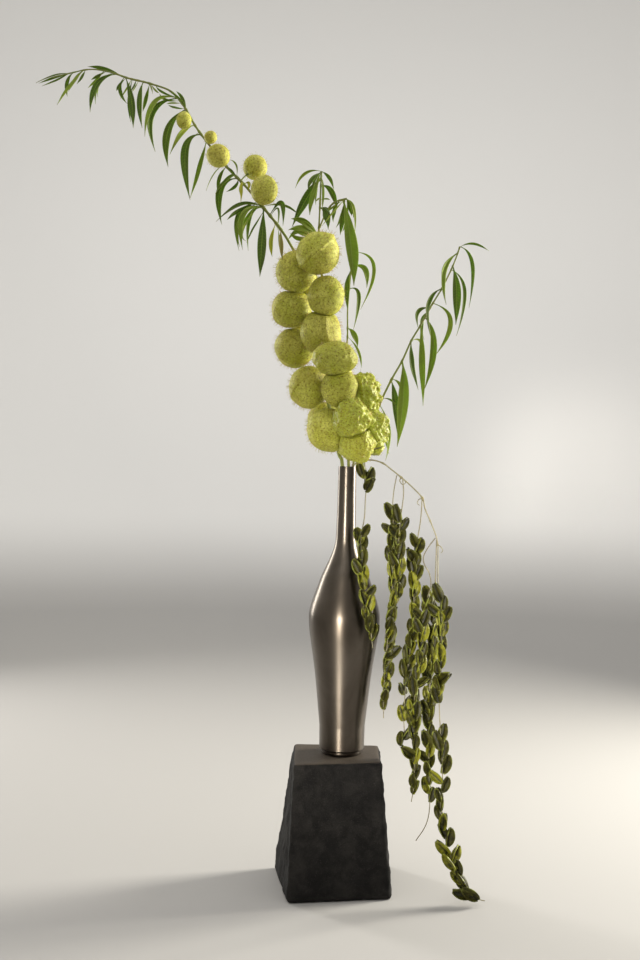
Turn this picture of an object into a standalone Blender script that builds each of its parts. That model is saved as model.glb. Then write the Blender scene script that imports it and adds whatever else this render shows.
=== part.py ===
# Ikebana arrangement: balloon milkweed and a fruiting yam vine in a metal bottle vase on a stone block.
# Points are in millimetres in the object's frame: X right, Y away, Z up, the table at Z = 0.
import math

import bmesh
import bpy
from mathutils import Vector
from mathutils.bvhtree import BVHTree

MM = 0.001
GAP = 0.35  # clearance between neighbouring pieces

# stone block
STAND_HEIGHT = 180.0
STAND_TOP = ((-66, -72), (53, -47), (55, 50), (-68, 50))
STAND_FOOT = ((-70, -88), (70, -65), (72, 68), (-94, 50))
STAND_CORNERS = (7, 9, 16, 8)
STAND_SIDES = 28
STAND_ROWS = 8
STAND_ROUGHNESS = 1.9

# bottle vase: heights above its foot and outer radii
VASE_HEIGHT = 400.0
VASE_WALL = 1.6
VASE_FLOOR = 3.0
VASE_STEPS = 24
VASE_PROFILE = (
    (0, 25.5), (3, 27.6), (8, 28.4), (55, 33.5), (108, 39.2), (151, 45.6), (178, 49.3), (188, 49.8),
    (197, 49.0), (213, 45.4), (248, 33), (272, 22), (290, 15.8), (302, 14), (350, 12.9), (400, 12.4),
)

# stems: points and radii from the foot in the vase to the tip
STEM_MAIN = (
    (10, -9, 184.1), (5, -7, 330), (-2.5, -4.5, 480), (-7, -2, 580), (-13, 6, 601), (-28, 28, 668),
    (-41, 34, 718), (-51, 35, 768), (-62, 35, 818), (-73, 31, 867), (-91, 22, 901), (-109, 14, 924),
    (-128, 8, 945), (-152, 4, 972), (-176, 2, 995), (-199, 0, 1022), (-221, 0, 1050), (-238, 0, 1078),
    (-257, 0, 1100), (-288, 0, 1111), (-319, 0, 1118), (-344, 0, 1126), (-372, 0, 1129),
    (-400, 0, 1123), (-424, -2, 1116),
)
STEM_MAIN_RADII = (3.2, 3.0, 2.6, 2.2, 1.8, 1.4, 0.7)
STEM_UPRIGHT = (
    (4, -17, 184.1), (3.4, -13.6, 400), (2.2, -9, 480), (1.6, -6.2, 580), (-1, 16, 633), (-11, 29, 676),
    (-18, 31, 718), (-25, 27, 761), (-34, 22, 817), (-44, 13, 864), (-47, 6, 898), (-46, 2, 946),
    (-45, 0, 993),
)
STEM_UPRIGHT_RADII = (2.6, 2.5, 2.4, 2.1, 1.8, 1.5, 1.1)
SHOOT_HIGH = ((-46, 4, 915), (-36, 0, 938), (-25, -6, 949), (-9, -10, 953))
SHOOT_LOW = ((-16, 30, 705), (-4, 24, 753), (-4, 15, 802), (-2, 8, 836), (0, 4, 868), (0, 2, 893))
STEM_RIGHT = (
    (17.5, 3, 184.1), (14, 2, 345), (8.6, 0.6, 480), (7.8, 0.4, 580), (19, 9, 607), (34, 20, 640),
    (45, 18, 672), (60, 10, 705), (74, 5, 731), (86, 4, 759), (98, 2, 780), (111, 0, 805),
    (126, -2, 831), (138, -4, 856), (145, -6, 874), (150, -8, 890),
)
STEM_RIGHT_RADII = (2.3, 2.2, 1.9, 1.6, 1.3, 1.0)
VINE = (
    (17.5, -7, 184.1), (16, -7, 300), (10.5, -5.5, 420), (7, -5, 480), (6.4, -4.6, 576), (8.9, -4.8, 582.6),
    (13, -5.2, 585.8), (23, -7, 589.5), (36, -10, 590), (49, -13, 586), (60, -17, 578), (74, -21, 567),
    (89, -26, 554),
    (103, -30, 539), (107, -32, 524), (114, -35, 508), (122, -38, 488), (125, -40, 474),
)
VINE_RADII = (1.4, 1.4, 1.2, 0.9)

MOUTH_HEIGHT = STAND_HEIGHT + VASE_HEIGHT + 8  # lowest that a stalk or a leaf leaves a stem

# inflated pods: centre, half-sizes across, in depth and up, and how crumpled the skin is
PODS = {
    "a": ((-47, -30, 872), (29.4, 29, 29.2), 0), "b": ((-78, 4, 852), (28.8, 29, 29.2), 0),
    "c": ((-35, -20, 815), (25, 26.5, 28.5), 0), "d": ((-83, 18, 802), (28.2, 28, 27.5), 0),
    "e": ((-42, -6, 767), (27.9, 29, 30.6), 0), "f": ((-78, 30, 749), (27.8, 28, 29.2), 0),
    "g": ((-21, -36, 726), (29.8, 26, 22.8), 0.04), "h": ((-57, 6, 691), (27.4, 28, 30), 0),
    "i": ((-14, -24, 688), (25.2, 26, 27.2), 0.03), "j": ((-27, -6, 631), (30.6, 29, 30.2), 0),
    "k": ((17, 0, 680), (21.8, 22, 28), 0.12), "l": ((3, -36, 645), (20.5, 20, 24.6), 0.12),
    "m": ((31, -10, 631), (18.8, 20, 26.4), 0.12), "n": ((12, -34, 614), (23.4, 22, 24), 0.1),
    "o": ((38, -6, 609), (11.2, 11, 11.2), 0.12), "q": ((-33, 55, 648), (25, 25, 26), 0),
    "r": ((-20, 66, 712), (26, 26, 27), 0), "s": ((-60, 66, 779), (24.5, 24.5, 25), 0),
    "t": ((-64, 52, 836), (24, 24, 25), 0), "u": ((-236, -23, 1053), (10.4, 10.4, 11.8), 0),
    "v": ((-200, -11, 1034), (9, 9, 9), 0), "w": ((-188, -20, 1006), (16, 15.5, 16.2), 0),
    "x": ((-139, 15, 1001), (17, 17, 17.6), 0), "y": ((-124, -8, 963), (18.8, 19, 20.2), 0),
}
POD_SEGMENTS = 12
POD_RINGS = 8
STALK_RADIUS = 1.2
SHORTEST_STALK = 0.3  # what a stalk must show outside its stem to be made

# leaves: base, middle, tip and width, then 1 where the leaf is a piece of its own
LEAVES_MAIN = (
    ((-400, 0, 1121), (-424, -3, 1118), (-446, -6, 1106), 5, 0),
    ((-400, 2, 1120), (-420, 5, 1115), (-441, 8, 1107), 5, 0),
    ((-380, 0, 1125), (-398, -6, 1104), (-415, -9, 1075), 8, 0),
    ((-381, 2, 1126), (-393, 6, 1118), (-404, 9, 1100), 5, 0),
    ((-327, 0, 1119), (-351, 0, 1130), (-375, -2, 1132), 6, 0),
    ((-335, 0, 1119), (-360, -8, 1106), (-368, -12, 1065), 9, 1),
    ((-353, 2, 1122), (-365, 8, 1117), (-377, 12, 1107), 6, 0),
    ((-323, 0, 1115), (-312, -8, 1085), (-308, -10, 1045), 10, 1),
    ((-324, 2, 1117), (-331, 8, 1104), (-321, 12, 1086), 6, 0),
    ((-297, 0, 1111), (-301, -6, 1086), (-296, -8, 1046), 9, 1),
    ((-288, 2, 1111), (-294, 8, 1093), (-299, 12, 1075), 6, 0),
    ((-256, 0, 1084), (-280, -10, 1081), (-291, -14, 1032), 9, 1),
    ((-256, 2, 1084), (-285, 8, 1072), (-280, 12, 1019), 11, 1),
    ((-236, 0, 1076), (-260, -8, 1043), (-260, 2, 995), 12, 1),
    ((-225, 0, 1053), (-240, -14, 1038), (-255, -20, 1006), 9, 0),
    ((-235, 0, 1075), (-244, -6, 1087), (-260, -8, 1098), 4, 0),
    ((-235, 2, 1076), (-242, 5, 1092), (-252, 8, 1104), 5, 0),
    ((-212, 0, 1043), (-235, -12, 1015), (-226, -16, 945), 13, 1),
    ((-208, 2, 1031), (-216, 6, 999), (-229, 8, 954), 9, 0),
    ((-184, 0, 999), (-196, -6, 983), (-205, -8, 960), 3, 0),
    ((-155, 0, 990), (-173, -10, 980), (-192, -12, 955), 7, 0),
    ((-155, 2, 989), (-187, 8, 966), (-184, 12, 918), 11, 1),
    ((-150, -2, 984), (-156, -10, 965), (-156, -14, 943), 11, 0),
    ((-127, 0, 941), (-157, -10, 942), (-190, -14, 916), 11, 0),
    ((-127, 2, 941), (-160, 8, 933), (-159, 14, 882), 7, 0),
    ((-127, 0, 940), (-152, -20, 925), (-151, -26, 875), 9, 0),
    ((-127, 3, 939), (-145, 20, 933), (-147, 26, 885), 7, 0),
    ((-127, 0, 939), (-125, -16, 892), (-127, -20, 840), 14, 1),
    ((-109, 4, 918), (-113, -8, 894), (-111, -10, 870), 7, 0),
    ((-102, 16, 913), (-99, -14, 888), (-96, -26, 862), 8, 0),
    ((-127, 2, 942), (-98, 10, 947), (-74, 14, 933), 4, 0),
    ((-116, 4, 931), (-100, -6, 946), (-97, -10, 913), 8, 0),
    ((-394, 0, 1122), (-422, 4, 1118), (-445, 6, 1110), 4, 0),
    ((-394, 0, 1123), (-405, 6, 1113), (-405, 9, 1093), 6, 0),
    ((-378, 0, 1126), (-382, -3, 1118), (-389, -5, 1106), 4, 0),
    ((-349, 0, 1123), (-362, 5, 1122), (-372, 8, 1117), 4, 0),
    ((-341, 0, 1122), (-359, 9, 1115), (-363, 13, 1095), 3, 0),
    ((-340, 0, 1118), (-360, 5, 1111), (-365, 8, 1083), 5, 0),
    ((-321, 0, 1117), (-331, 3, 1109), (-335, 5, 1101), 4, 0),
    ((-314, 0, 1115), (-321, 8, 1107), (-331, 12, 1093), 3, 0),
    ((-307, 0, 1116), (-311, 4, 1108), (-318, 7, 1100), 5, 0),
    ((-313, 0, 1114), (-318, 9, 1090), (-316, 14, 1061), 6, 0),
    ((-304, 0, 1114), (-310, 7, 1107), (-316, 11, 1102), 3, 0),
    ((-289, 0, 1112), (-285, -3, 1104), (-283, -5, 1095), 3, 0),
    ((-286, 0, 1112), (-280, -4, 1101), (-273, -8, 1095), 3, 0),
    ((-256, 0, 1086), (-270, 3, 1100), (-280, 4, 1110), 4, 0),
    ((-251, 0, 1083), (-266, 6, 1091), (-275, 8, 1100), 4, 0),
    ((-244, 0, 1083), (-254, -4, 1083), (-263, -6, 1081), 3, 0),
    ((-239, 0, 1075), (-252, 3, 1079), (-262, 4, 1083), 4, 0),
    ((-219, 0, 1043), (-229, 8, 1037), (-231, 12, 1032), 4, 0),
    ((-155, 0, 993), (-164, -4, 998), (-173, -6, 1005), 3, 0),
    ((-158, 0, 990), (-169, -3, 988), (-176, -3, 996), 5, 0),
    ((-158, 0, 986), (-165, 6, 972), (-179, 10, 964), 5, 0),
    ((-173, 0, 1002), (-188, 8, 984), (-191, 12, 963), 6, 0),
    ((-143, 0, 984), (-146, -5, 973), (-147, -8, 961), 5, 0),
    ((-141, 0, 943), (-160, -4, 934), (-175, -6, 921), 7, 0),
    ((-141, 0, 941), (-158, -8, 918), (-156, -12, 882), 6, 0),
    ((-138, 0, 941), (-149, 10, 928), (-154, 16, 908), 6, 0),
    ((-136, 0, 940), (-152, -14, 907), (-147, -20, 889), 4, 0),
    ((-128, 0, 934), (-139, -5, 909), (-147, -9, 889), 5, 0),
    ((-108, 0, 910), (-101, -6, 890), (-97, -9, 877), 4, 0),
    ((-114, 0, 929), (-105, 12, 942), (-106, 20, 914), 4, 0),
)
LEAVES_UPRIGHT = (
    ((-48, 2, 903), (-65, -10, 918), (-86, -16, 922), 10, 0),
    ((-48, 2, 900), (-67, -18, 908), (-89, -26, 904), 10, 0),
    ((-48, 6, 901), (-71, 12, 913), (-90, 4, 897), 9, 0),
    ((-46, 0, 994), (-67, -4, 989), (-81, -6, 967), 5, 0),
    ((-46, 0, 992), (-58, -10, 979), (-63, -14, 963), 7, 0),
    ((-46, 2, 982), (-63, 10, 962), (-85, 12, 917), 14, 1),
    ((-47, -2, 986), (-56, -14, 957), (-60, -18, 927), 9, 0),
    ((-44, 0, 994), (-34, -4, 983), (-27, -6, 966), 7, 0),
    ((-45, 0, 973), (-31, 4, 967), (-22, 8, 941), 9, 0),
    ((-44, -2, 986), (-42, -12, 964), (-43, -16, 934), 4, 0),
    ((-46, 0, 942), (-37, -12, 932), (-34, -16, 908), 15, 1),
    ((-11, -10, 952), (1, -14, 939), (3, -18, 904), 6, 0),
    ((-11, -8, 952), (-14, -5, 929), (-17, -6, 903), 8, 0),
    ((-18, -6, 952), (-26, 0, 939), (-27, 4, 923), 8, 0),
    ((-9, -10, 951), (-4, -2, 943), (-1, 2, 932), 8, 0),
    ((-14, -9, 951), (-2, -26, 892), (3, -28, 829), 20, 1),
    ((0, 3, 882), (31, -4, 861), (13, -10, 799), 6, 0),
    ((-1, 4, 862), (18, -14, 855), (21, -18, 828), 10, 0),
    ((-2, 6, 857), (-6, -6, 831), (-4, -8, 796), 9, 0),
    ((-3, 8, 831), (11, -4, 819), (4, -10, 771), 8, 0),
    ((-6, 20, 777), (6, 8, 767), (11, 6, 749), 10, 0),
    ((-7, 22, 765), (12, 14, 745), (17, 14, 720), 4, 0),
    ((-52, 0, 901), (-69, -14, 903), (-83, -20, 911), 8, 0),
    ((-52, 0, 900), (-73, -6, 897), (-87, -10, 904), 8, 0),
    ((-51, 0, 902), (-62, -18, 912), (-74, -26, 916), 8, 0),
    ((-46, 0, 992), (-55, 3, 979), (-59, 5, 958), 6, 0),
    ((-46, 0, 991), (-51, -6, 974), (-52, -10, 943), 5, 0),
    ((-43, 0, 953), (-48, -3, 954), (-53, -5, 948), 2.5, 0),
    ((-43, 0, 953), (-38, -3, 954), (-32, -5, 952), 2.5, 0),
    ((-10, -8, 947), (-26, -26, 932), (-43, -36, 908), 3, 0),
    ((-11, -8, 947), (-28, -1, 943), (-36, 5, 937), 3, 0),
    ((-10, -8, 946), (-16, 0, 931), (-23, 6, 916), 5, 0),
    ((-7, -8, 948), (0, -3, 941), (1, 0, 929), 5, 0),
    ((-4, -10, 947), (-8, -2, 928), (-14, 4, 910), 5, 0),
)
LEAVES_RIGHT = (
    ((149, -8, 889), (168, -10, 894), (190, -12, 884), 4, 0),
    ((150, -8, 890), (167, -14, 864), (163, -18, 803), 7, 0),
    ((145, -8, 882), (128, -18, 852), (131, -24, 806), 13, 1),
    ((141, -5, 863), (146, -16, 828), (145, -20, 779), 13, 1),
    ((140, -4, 858), (160, 8, 830), (150, 12, 768), 7, 0),
    ((126, -2, 832), (108, -10, 808), (112, -14, 761), 11, 1),
    ((116, 0, 811), (141, 6, 787), (120, 10, 739), 8, 0),
    ((111, 0, 805), (94, -8, 798), (94, -12, 775), 8, 0),
    ((108, 2, 800), (101, 12, 787), (105, 16, 762), 7, 0),
    ((106, 1, 791), (117, -4, 753), (104, -8, 688), 11, 1),
    ((99, 0, 780), (100, -18, 730), (102, -22, 666), 12, 1),
    ((86, 4, 759), (87, -6, 728), (96, -10, 689), 10, 1),
    ((86, 4, 759), (102, 14, 755), (102, 18, 713), 6, 0),
    ((74, 4, 730), (76, -10, 682), (68, -14, 609), 17, 1),
    ((60, 8, 705), (73, 10, 696), (77, 12, 673), 6, 0),
    ((60, 10, 703), (67, 20, 674), (71, 24, 626), 12, 1),
    ((46, 16, 678), (59, 10, 676), (68, 8, 665), 3, 0),
    ((44, 16, 669), (57, 2, 633), (53, -4, 590), 7, 0),
    ((41, 20, 660), (52, 25, 626), (59, 24, 600), 5, 0),
)
LEAF_STATIONS = 5
LEAF_THICKNESS = 0.9
LEAF_TURN = 42.0  # most that a blade turns from facing the front, degrees

# fruiting strings: points, then the stretches that carry capsules, as heights
STRINGS = {
    "1": (((24, -7.4, 587.4), (24, -18, 569), (26, -23, 554), (25, -26, 535), (24, -30, 510),
           (20, -34, 487), (20, -39, 460), (22, -46, 433), (25, -52, 407), (29, -55, 380),
           (35, -56, 357), (38, -54, 335)), ((566, 538), (486, 336))),
    "2": (((68, -18.4, 569.6), (65, -12, 549), (64, -9, 528), (66, -7, 494), (66, -3, 452), (66, -6, 410),
           (64, -8, 375), (61, -10, 340), (58, -12, 306), (57, -12, 265), (57, -12, 232)),
          ((510, 234),)),
    "3": (((76, -24, 565), (77, -31, 543), (74, -35, 515), (71, -36, 474), (72, -37, 447),
           (73, -38, 413), (71, -38, 394)), ((510, 395),)),
    "4": (((103, -28, 538), (102, -22, 509), (99, -14, 481), (97, -9, 453), (96, -8, 412),
           (97, -6, 370), (93, -6, 329), (88, -9, 288), (86, -13, 260), (85, -14, 236),
           (86, -15, 209), (80, -17, 194)), ((474, 262), (242, 220), (206, 194))),
    "5": (((121, -39, 485), (113, -37, 474), (106, -35, 460), (107, -34, 449), (114, -34, 437),
           (117, -33, 420), (112, -32, 400), (107, -33, 373), (105, -34, 332), (101, -35, 290),
           (97, -36, 256), (98, -37, 222), (99, -37, 181), (99, -37, 147), (96, -37, 124)),
          ((396, 126),)),
    "6": (((125, -40, 473.4), (125, -42, 450), (126, -45, 417), (131, -52, 388), (130, -56, 354),
           (130, -57, 321), (128, -58, 294), (129, -58, 260), (131, -60, 227), (134, -61, 187),
           (135, -63, 154), (133, -65, 121), (139, -68, 89), (147, -71, 62), (158, -75, 36),
           (171, -78, 18), (184, -81, 9.5), (192, -82, 8)), ((402, 262), (216, 8))),
    "7": (((123, -37, 483), (124, -26, 446), (125, -11, 408), (125, -2, 375), (123, 0, 345),
           (121, -4, 311), (121, -8, 277), (119, -12, 244), (121, -14, 210), (121, -16, 177),
           (122, -18, 143), (123, -20, 112), (118, -22, 88), (104, -24, 66)), ((376, 112),)),
}
STRING_RADIUS = 0.85
CAPSULE_STEP = 10.0
CAPSULE_LENGTH = 25.0
# rings along a capsule: share of the length, reach of a wing, reach between wings
CAPSULE_RINGS = ((0, 0.45, 0.45), (0.28, 7.0, 1.5), (0.72, 7.7, 1.6), (1, 0, 0))

MATERIALS = {
    "stone": ((0.105, 0.095, 0.085), 0.0, 0.8),
    "metal": ((0.62, 0.57, 0.50), 1.0, 0.3),
    "stem": ((0.23, 0.29, 0.07), 0.0, 0.6),
    "leaf": ((0.11, 0.19, 0.035), 0.0, 0.55),
    "pod": ((0.60, 0.58, 0.16), 0.0, 0.6),
    "capsule": ((0.30, 0.34, 0.06), 0.0, 0.5),
}


def clear_scene():
    for item in list(bpy.data.objects):
        bpy.data.objects.remove(item)


def collection(name, helper=False):
    made = bpy.data.collections.new(name)
    bpy.context.scene.collection.children.link(made)
    made.hide_render = helper
    return made


def material(name):
    color, metallic, roughness = MATERIALS[name]
    made = bpy.data.materials.get(name) or bpy.data.materials.new(name)
    made.use_nodes = True
    shader = made.node_tree.nodes["Principled BSDF"]
    shader.inputs["Base Color"].default_value = (*color, 1)
    shader.inputs["Metallic"].default_value = metallic
    shader.inputs["Roughness"].default_value = roughness
    return made


def place(mesh, name, slot, home, smooth_angle=None):
    made = bpy.data.objects.new(name, mesh)
    home.objects.link(made)
    mesh.materials.clear()
    mesh.materials.append(material(slot))
    if smooth_angle is not None:
        mesh.shade_smooth()
        mesh.set_sharp_from_angle(angle=math.radians(smooth_angle))
    return made


def finish_bmesh(bm, name):
    bmesh.ops.recalc_face_normals(bm, faces=bm.faces)
    if bm.calc_volume(signed=True) < 0:
        bmesh.ops.reverse_faces(bm, faces=bm.faces)
    mesh = bpy.data.meshes.new(name)
    bm.to_mesh(mesh)
    bm.free()
    return mesh


def jitter(a, b):
    """A fixed number from 0 to 1 for a pair of numbers."""
    return (math.sin(a * 12.9898 + b * 78.233) * 43758.5453) % 1.0


def smooth(points, per_span=3):
    """Points of a Catmull-Rom curve through the given ones."""
    knots = [Vector(p) for p in points]
    knots = [2 * knots[0] - knots[1], *knots, 2 * knots[-1] - knots[-2]]
    made = []
    for i in range(1, len(knots) - 2):
        a, b, c, d = knots[i - 1 : i + 3]
        for k in range(per_span):
            t = k / per_span
            made.append(0.5 * (2 * b + (c - a) * t + (2 * a - 5 * b + 4 * c - d) * t**2
                               + (3 * b - a - 3 * c + d) * t**3))
    return [*made, knots[-2]]


def along(values, t):
    """A value between evenly spaced ones."""
    spot = min(max(t, 0), 1) * (len(values) - 1)
    i = min(int(spot), len(values) - 2)
    return values[i] + (values[i + 1] - values[i]) * (spot - i)


def nearest(path, point):
    """The nearest point of a path, its direction and its share of the length."""
    best = None
    for i in range(len(path) - 1):
        span = path[i + 1] - path[i]
        t = min(max((point - path[i]).dot(span) / span.length_squared, 0), 1)
        spot = path[i] + span * t
        if best is None or (spot - point).length < best[3]:
            best = (spot, span.normalized(), (i + t) / (len(path) - 1), (spot - point).length)
    return best[:3]


def tube(name, path, radii, sides_level=1):
    """A round stem along a path, from a curve with a bevel and filled ends."""
    data = bpy.data.curves.new(name, "CURVE")
    data.dimensions = "3D"
    data.bevel_depth = MM
    data.bevel_resolution = sides_level
    data.use_fill_caps = True
    line = data.splines.new("POLY")
    line.points.add(len(path) - 1)
    for i, spot in enumerate(path):
        line.points[i].co = (*(spot * MM), 1)
        line.points[i].radius = along(radii, i / (len(path) - 1))
    guide = bpy.data.objects.new(name, data)
    bpy.context.scene.collection.objects.link(guide)
    bpy.context.view_layer.update()
    mesh = bpy.data.meshes.new_from_object(guide.evaluated_get(bpy.context.evaluated_depsgraph_get()))
    bpy.data.objects.remove(guide)
    bm = bmesh.new()
    bm.from_mesh(mesh)
    bmesh.ops.remove_doubles(bm, verts=bm.verts, dist=1e-6)
    return finish_bmesh(bm, name)


def loft(name, sections):
    """A closed skin through rings of points, each ring with the same count."""
    bm = bmesh.new()
    rings = [[bm.verts.new(Vector(p) * MM) for p in ring] for ring in sections]
    count = len(rings[0])
    for low, high in zip(rings, rings[1:]):
        for i in range(count):
            j = (i + 1) % count
            # every diagonal runs from a sharp edge, so that the two sides of a thin blade stay parallel
            first, second = (low[j], high[j]) if i % 2 == 0 else (low[j], high[i])
            bm.faces.new((low[i], first, second))
            bm.faces.new((low[i], high[j], high[i]) if i % 2 == 0 else (low[j], high[j], high[i]))
    bm.faces.new(rings[0][::-1])
    bm.faces.new(rings[-1])
    bmesh.ops.remove_doubles(bm, verts=bm.verts, dist=1e-7)
    return finish_bmesh(bm, name)


def keep_largest(mesh):
    """Removes slivers that a union leaves, and every loose scrap but the main shell."""
    bm = bmesh.new()
    bm.from_mesh(mesh)
    left = set(bm.faces)
    shells = []
    while left:
        queue = [left.pop()]
        shell = list(queue)
        while queue:
            for edge in queue.pop().edges:
                for face in edge.link_faces:
                    if face in left:
                        left.remove(face)
                        queue.append(face)
                        shell.append(face)
        shells.append(shell)
    shells.sort(key=len)
    bmesh.ops.delete(bm, geom=[face for shell in shells[:-1] for face in shell], context="FACES")
    bm.to_mesh(mesh)
    bm.free()


def union(name, meshes, slot, home):
    """One solid from meshes that run into one another."""
    body = place(meshes[0], name, slot, home)
    if len(meshes) == 1:
        meshes[0].shade_smooth()
        return body
    others = bpy.data.collections.new(name + " pieces")
    bpy.context.scene.collection.children.link(others)
    for i, mesh in enumerate(meshes[1:]):
        place(mesh, f"{name} piece {i}", slot, others)
    joined = body.modifiers.new("Union", "BOOLEAN")
    joined.operation = "UNION"
    joined.operand_type = "COLLECTION"
    joined.collection = others
    joined.solver = "EXACT"
    bpy.context.view_layer.update()
    mesh = bpy.data.meshes.new_from_object(body.evaluated_get(bpy.context.evaluated_depsgraph_get()))
    body.modifiers.clear()
    keep_largest(mesh)
    mesh.shade_smooth()
    mesh.set_sharp_from_angle(angle=math.radians(40))
    body.data = mesh
    for item in list(others.objects):
        bpy.data.objects.remove(item)
    bpy.data.collections.remove(others)
    return body


def rounded_outline(corners, radii, count):
    """Points round a four-sided outline with rounded corners, evenly shared between the sides."""
    per_side = count // 4
    made = []
    for i in range(4):
        here = Vector(corners[i])
        after = Vector(corners[(i + 1) % 4])
        before = Vector(corners[i - 1])
        into = (here - before).normalized()
        out = (after - here).normalized()
        for k in range(3):
            t = k / 2
            a = here - into * radii[i]
            b = here + out * radii[i]
            made.append(a * (1 - t) ** 2 + here * 2 * t * (1 - t) + b * t * t)
        start = here + out * radii[i]
        end = after - out * radii[(i + 1) % 4]
        for k in range(1, per_side - 2):
            made.append(start.lerp(end, k / (per_side - 2)))
    return made


def build_stand(home):
    sections = []
    top = rounded_outline(STAND_TOP, STAND_CORNERS, STAND_SIDES)
    foot = rounded_outline(STAND_FOOT, [r * 1.1 for r in STAND_CORNERS], STAND_SIDES)
    for row in range(STAND_ROWS):
        t = row / (STAND_ROWS - 1)
        ring = []
        for i, (low, high) in enumerate(zip(foot, top)):
            spot = low.lerp(high, t ** 0.85)
            rough = math.sin(i * 1.9 + row * 1.3) + math.sin(i * 0.7 - row * 2.1) + jitter(i, row) - 0.5
            depth = STAND_ROUGHNESS * (0.7 + rough) * (0.25 if row == STAND_ROWS - 1 else 1)
            spot = spot - spot.normalized() * depth
            ring.append((spot.x, spot.y, STAND_HEIGHT * t))
        sections.append(ring)
    place(loft("stand", sections), "stand", "stone", home)


def build_vase(home):
    inner = [(r - VASE_WALL, h) for h, r in VASE_PROFILE if h > VASE_FLOOR]
    inner[0] = (inner[0][0] - 1.5, VASE_FLOOR + 3)
    outer = [(r, h) for h, r in VASE_PROFILE]
    outline = [(0, VASE_FLOOR), (inner[0][0] - 4, VASE_FLOOR), *inner, *outer[::-1], (0, 0)]
    bm = bmesh.new()
    verts = [bm.verts.new((x * MM, 0, z * MM)) for x, z in outline]
    for a, b in zip(verts, verts[1:]):
        bm.edges.new((a, b))
    mesh = bpy.data.meshes.new("vase")
    bm.to_mesh(mesh)
    bm.free()
    vase = place(mesh, "vase", "metal", home)
    vase.location.z = (STAND_HEIGHT + GAP) * MM
    turn = vase.modifiers.new("Turn", "SCREW")
    turn.steps = VASE_STEPS
    turn.render_steps = VASE_STEPS
    turn.use_merge_vertices = True
    turn.merge_threshold = 1e-5
    turn.use_normal_calculate = True
    turn.use_smooth_shade = True


def reach_of(key, way):
    """How far a pod's ellipsoid reaches along a direction."""
    return math.sqrt(sum((size * share) ** 2 for size, share in zip(PODS[key][1], way)))


def pod_contacts(stems):
    """Where neighbours and stems press each pod flat, each contact as a distance and a way out."""
    contacts = {key: [] for key in PODS}
    for key in PODS:
        centre = Vector(PODS[key][0])
        for other in PODS:
            if other <= key:
                continue
            way = Vector(PODS[other][0]) - centre
            apart = way.length
            way.normalize()
            near, far = reach_of(key, way), reach_of(other, way)
            if near + far + GAP > apart:
                middle = (apart**2 + near**2 - far**2) / (2 * apart)
                contacts[key].append((middle - GAP / 2, way))
                contacts[other].append((apart - middle - GAP / 2, -way))
        for path, radii in stems:
            spot, _, share = nearest(path, centre)
            samples = [(point, i / (len(path) - 1)) for i, point in enumerate(path)]
            for point, part in [*samples, (spot, share)]:
                way = point - centre
                clear = way.length - along(radii, part) - GAP - 0.15
                way.normalize()
                if clear < reach_of(key, way) * (1 + PODS[key][2]):
                    contacts[key].append((clear, way))
    return contacts


def build_pod(key, contacts, attach, home):
    """A pod as an ellipsoid cut flat where it is pressed. Gives where a stalk from the point attach ends."""
    centre, sizes, crumple = Vector(PODS[key][0]), PODS[key][1], PODS[key][2]
    bm = bmesh.new()
    bmesh.ops.create_uvsphere(bm, u_segments=POD_SEGMENTS, v_segments=POD_RINGS, radius=1)
    turn = (attach - centre).to_track_quat("Z", "Y")
    seed = ord(key)
    for vert in bm.verts:
        side = turn @ vert.co
        dent = math.sin(side.x * 5 + seed) * math.sin(side.y * 6 + seed * 2) * math.sin(side.z * 5 + seed)
        vert.co = Vector(size * share for size, share in zip(sizes, side)) * (1 + crumple * dent) * MM
    for clear, way in contacts[key]:
        everything = [*bm.verts, *bm.edges, *bm.faces]
        bmesh.ops.bisect_plane(bm, geom=everything, plane_co=way * clear * MM, plane_no=way, clear_outer=True)
        bmesh.ops.holes_fill(bm, edges=[edge for edge in bm.edges if edge.is_boundary])
    bmesh.ops.dissolve_degenerate(bm, edges=bm.edges, dist=0.05 * MM)
    toward = (centre - attach).normalized()
    hit, normal = BVHTree.FromBMesh(bm).ray_cast((attach - centre) * MM, toward)[:2]
    slant = abs(normal.dot(toward))
    back = (GAP + STALK_RADIUS * math.sqrt(1 - min(slant, 1) ** 2)) / slant
    pod = place(finish_bmesh(bm, "pod_" + key), "pod_" + key, "pod", home, 40)
    pod.location = centre * MM
    return centre + hit / MM - toward * back


def inside_pod(key, contacts, spot, margin):
    """Whether a point lies in a pod or within a margin of it."""
    offset = spot - Vector(PODS[key][0])
    if sum((share / (size + margin)) ** 2 for size, share in zip(PODS[key][1], offset)) > 1:
        return False
    return all(offset.dot(way) < clear + margin for clear, way in contacts[key])


def stalk_ends(key, contacts, stems):
    """The shortest clear way from a stem to a pod: the stem, the spot on its axis and its radius there."""
    centre = Vector(PODS[key][0])
    best = None
    for owner, (path, radii) in enumerate(stems[:3]):
        spots = []
        for here, after in zip(path, path[1:]):
            spots += [here.lerp(after, k / 4) for k in range(4)]
        for spot in spots:
            if spot.z < MOUTH_HEIGHT or (spot - centre).length > 75:
                continue
            toward = (centre - spot).normalized()
            reach = (centre - spot).length
            while reach > 0 and inside_pod(key, contacts, spot + toward * reach, 0):
                reach -= 0.25
            end = spot + toward * max(reach - GAP, 0)
            steps = [spot.lerp(end, k / 12) for k in range(13)]
            blocked = any(inside_pod(other, contacts, step, STALK_RADIUS + GAP)
                          for other in PODS if other != key for step in steps)
            if not blocked and (best is None or reach < best[0]):
                best = (reach, owner, spot, along(radii, nearest(path, spot)[2]))
    return best[1:]


def stalk(name, spot, end):
    """A short stalk from the stem's axis to just short of the pod."""
    points = [spot, spot.lerp(end, 0.5), end]
    return tube(name, points, (STALK_RADIUS * 1.2, STALK_RADIUS), 0)


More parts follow.
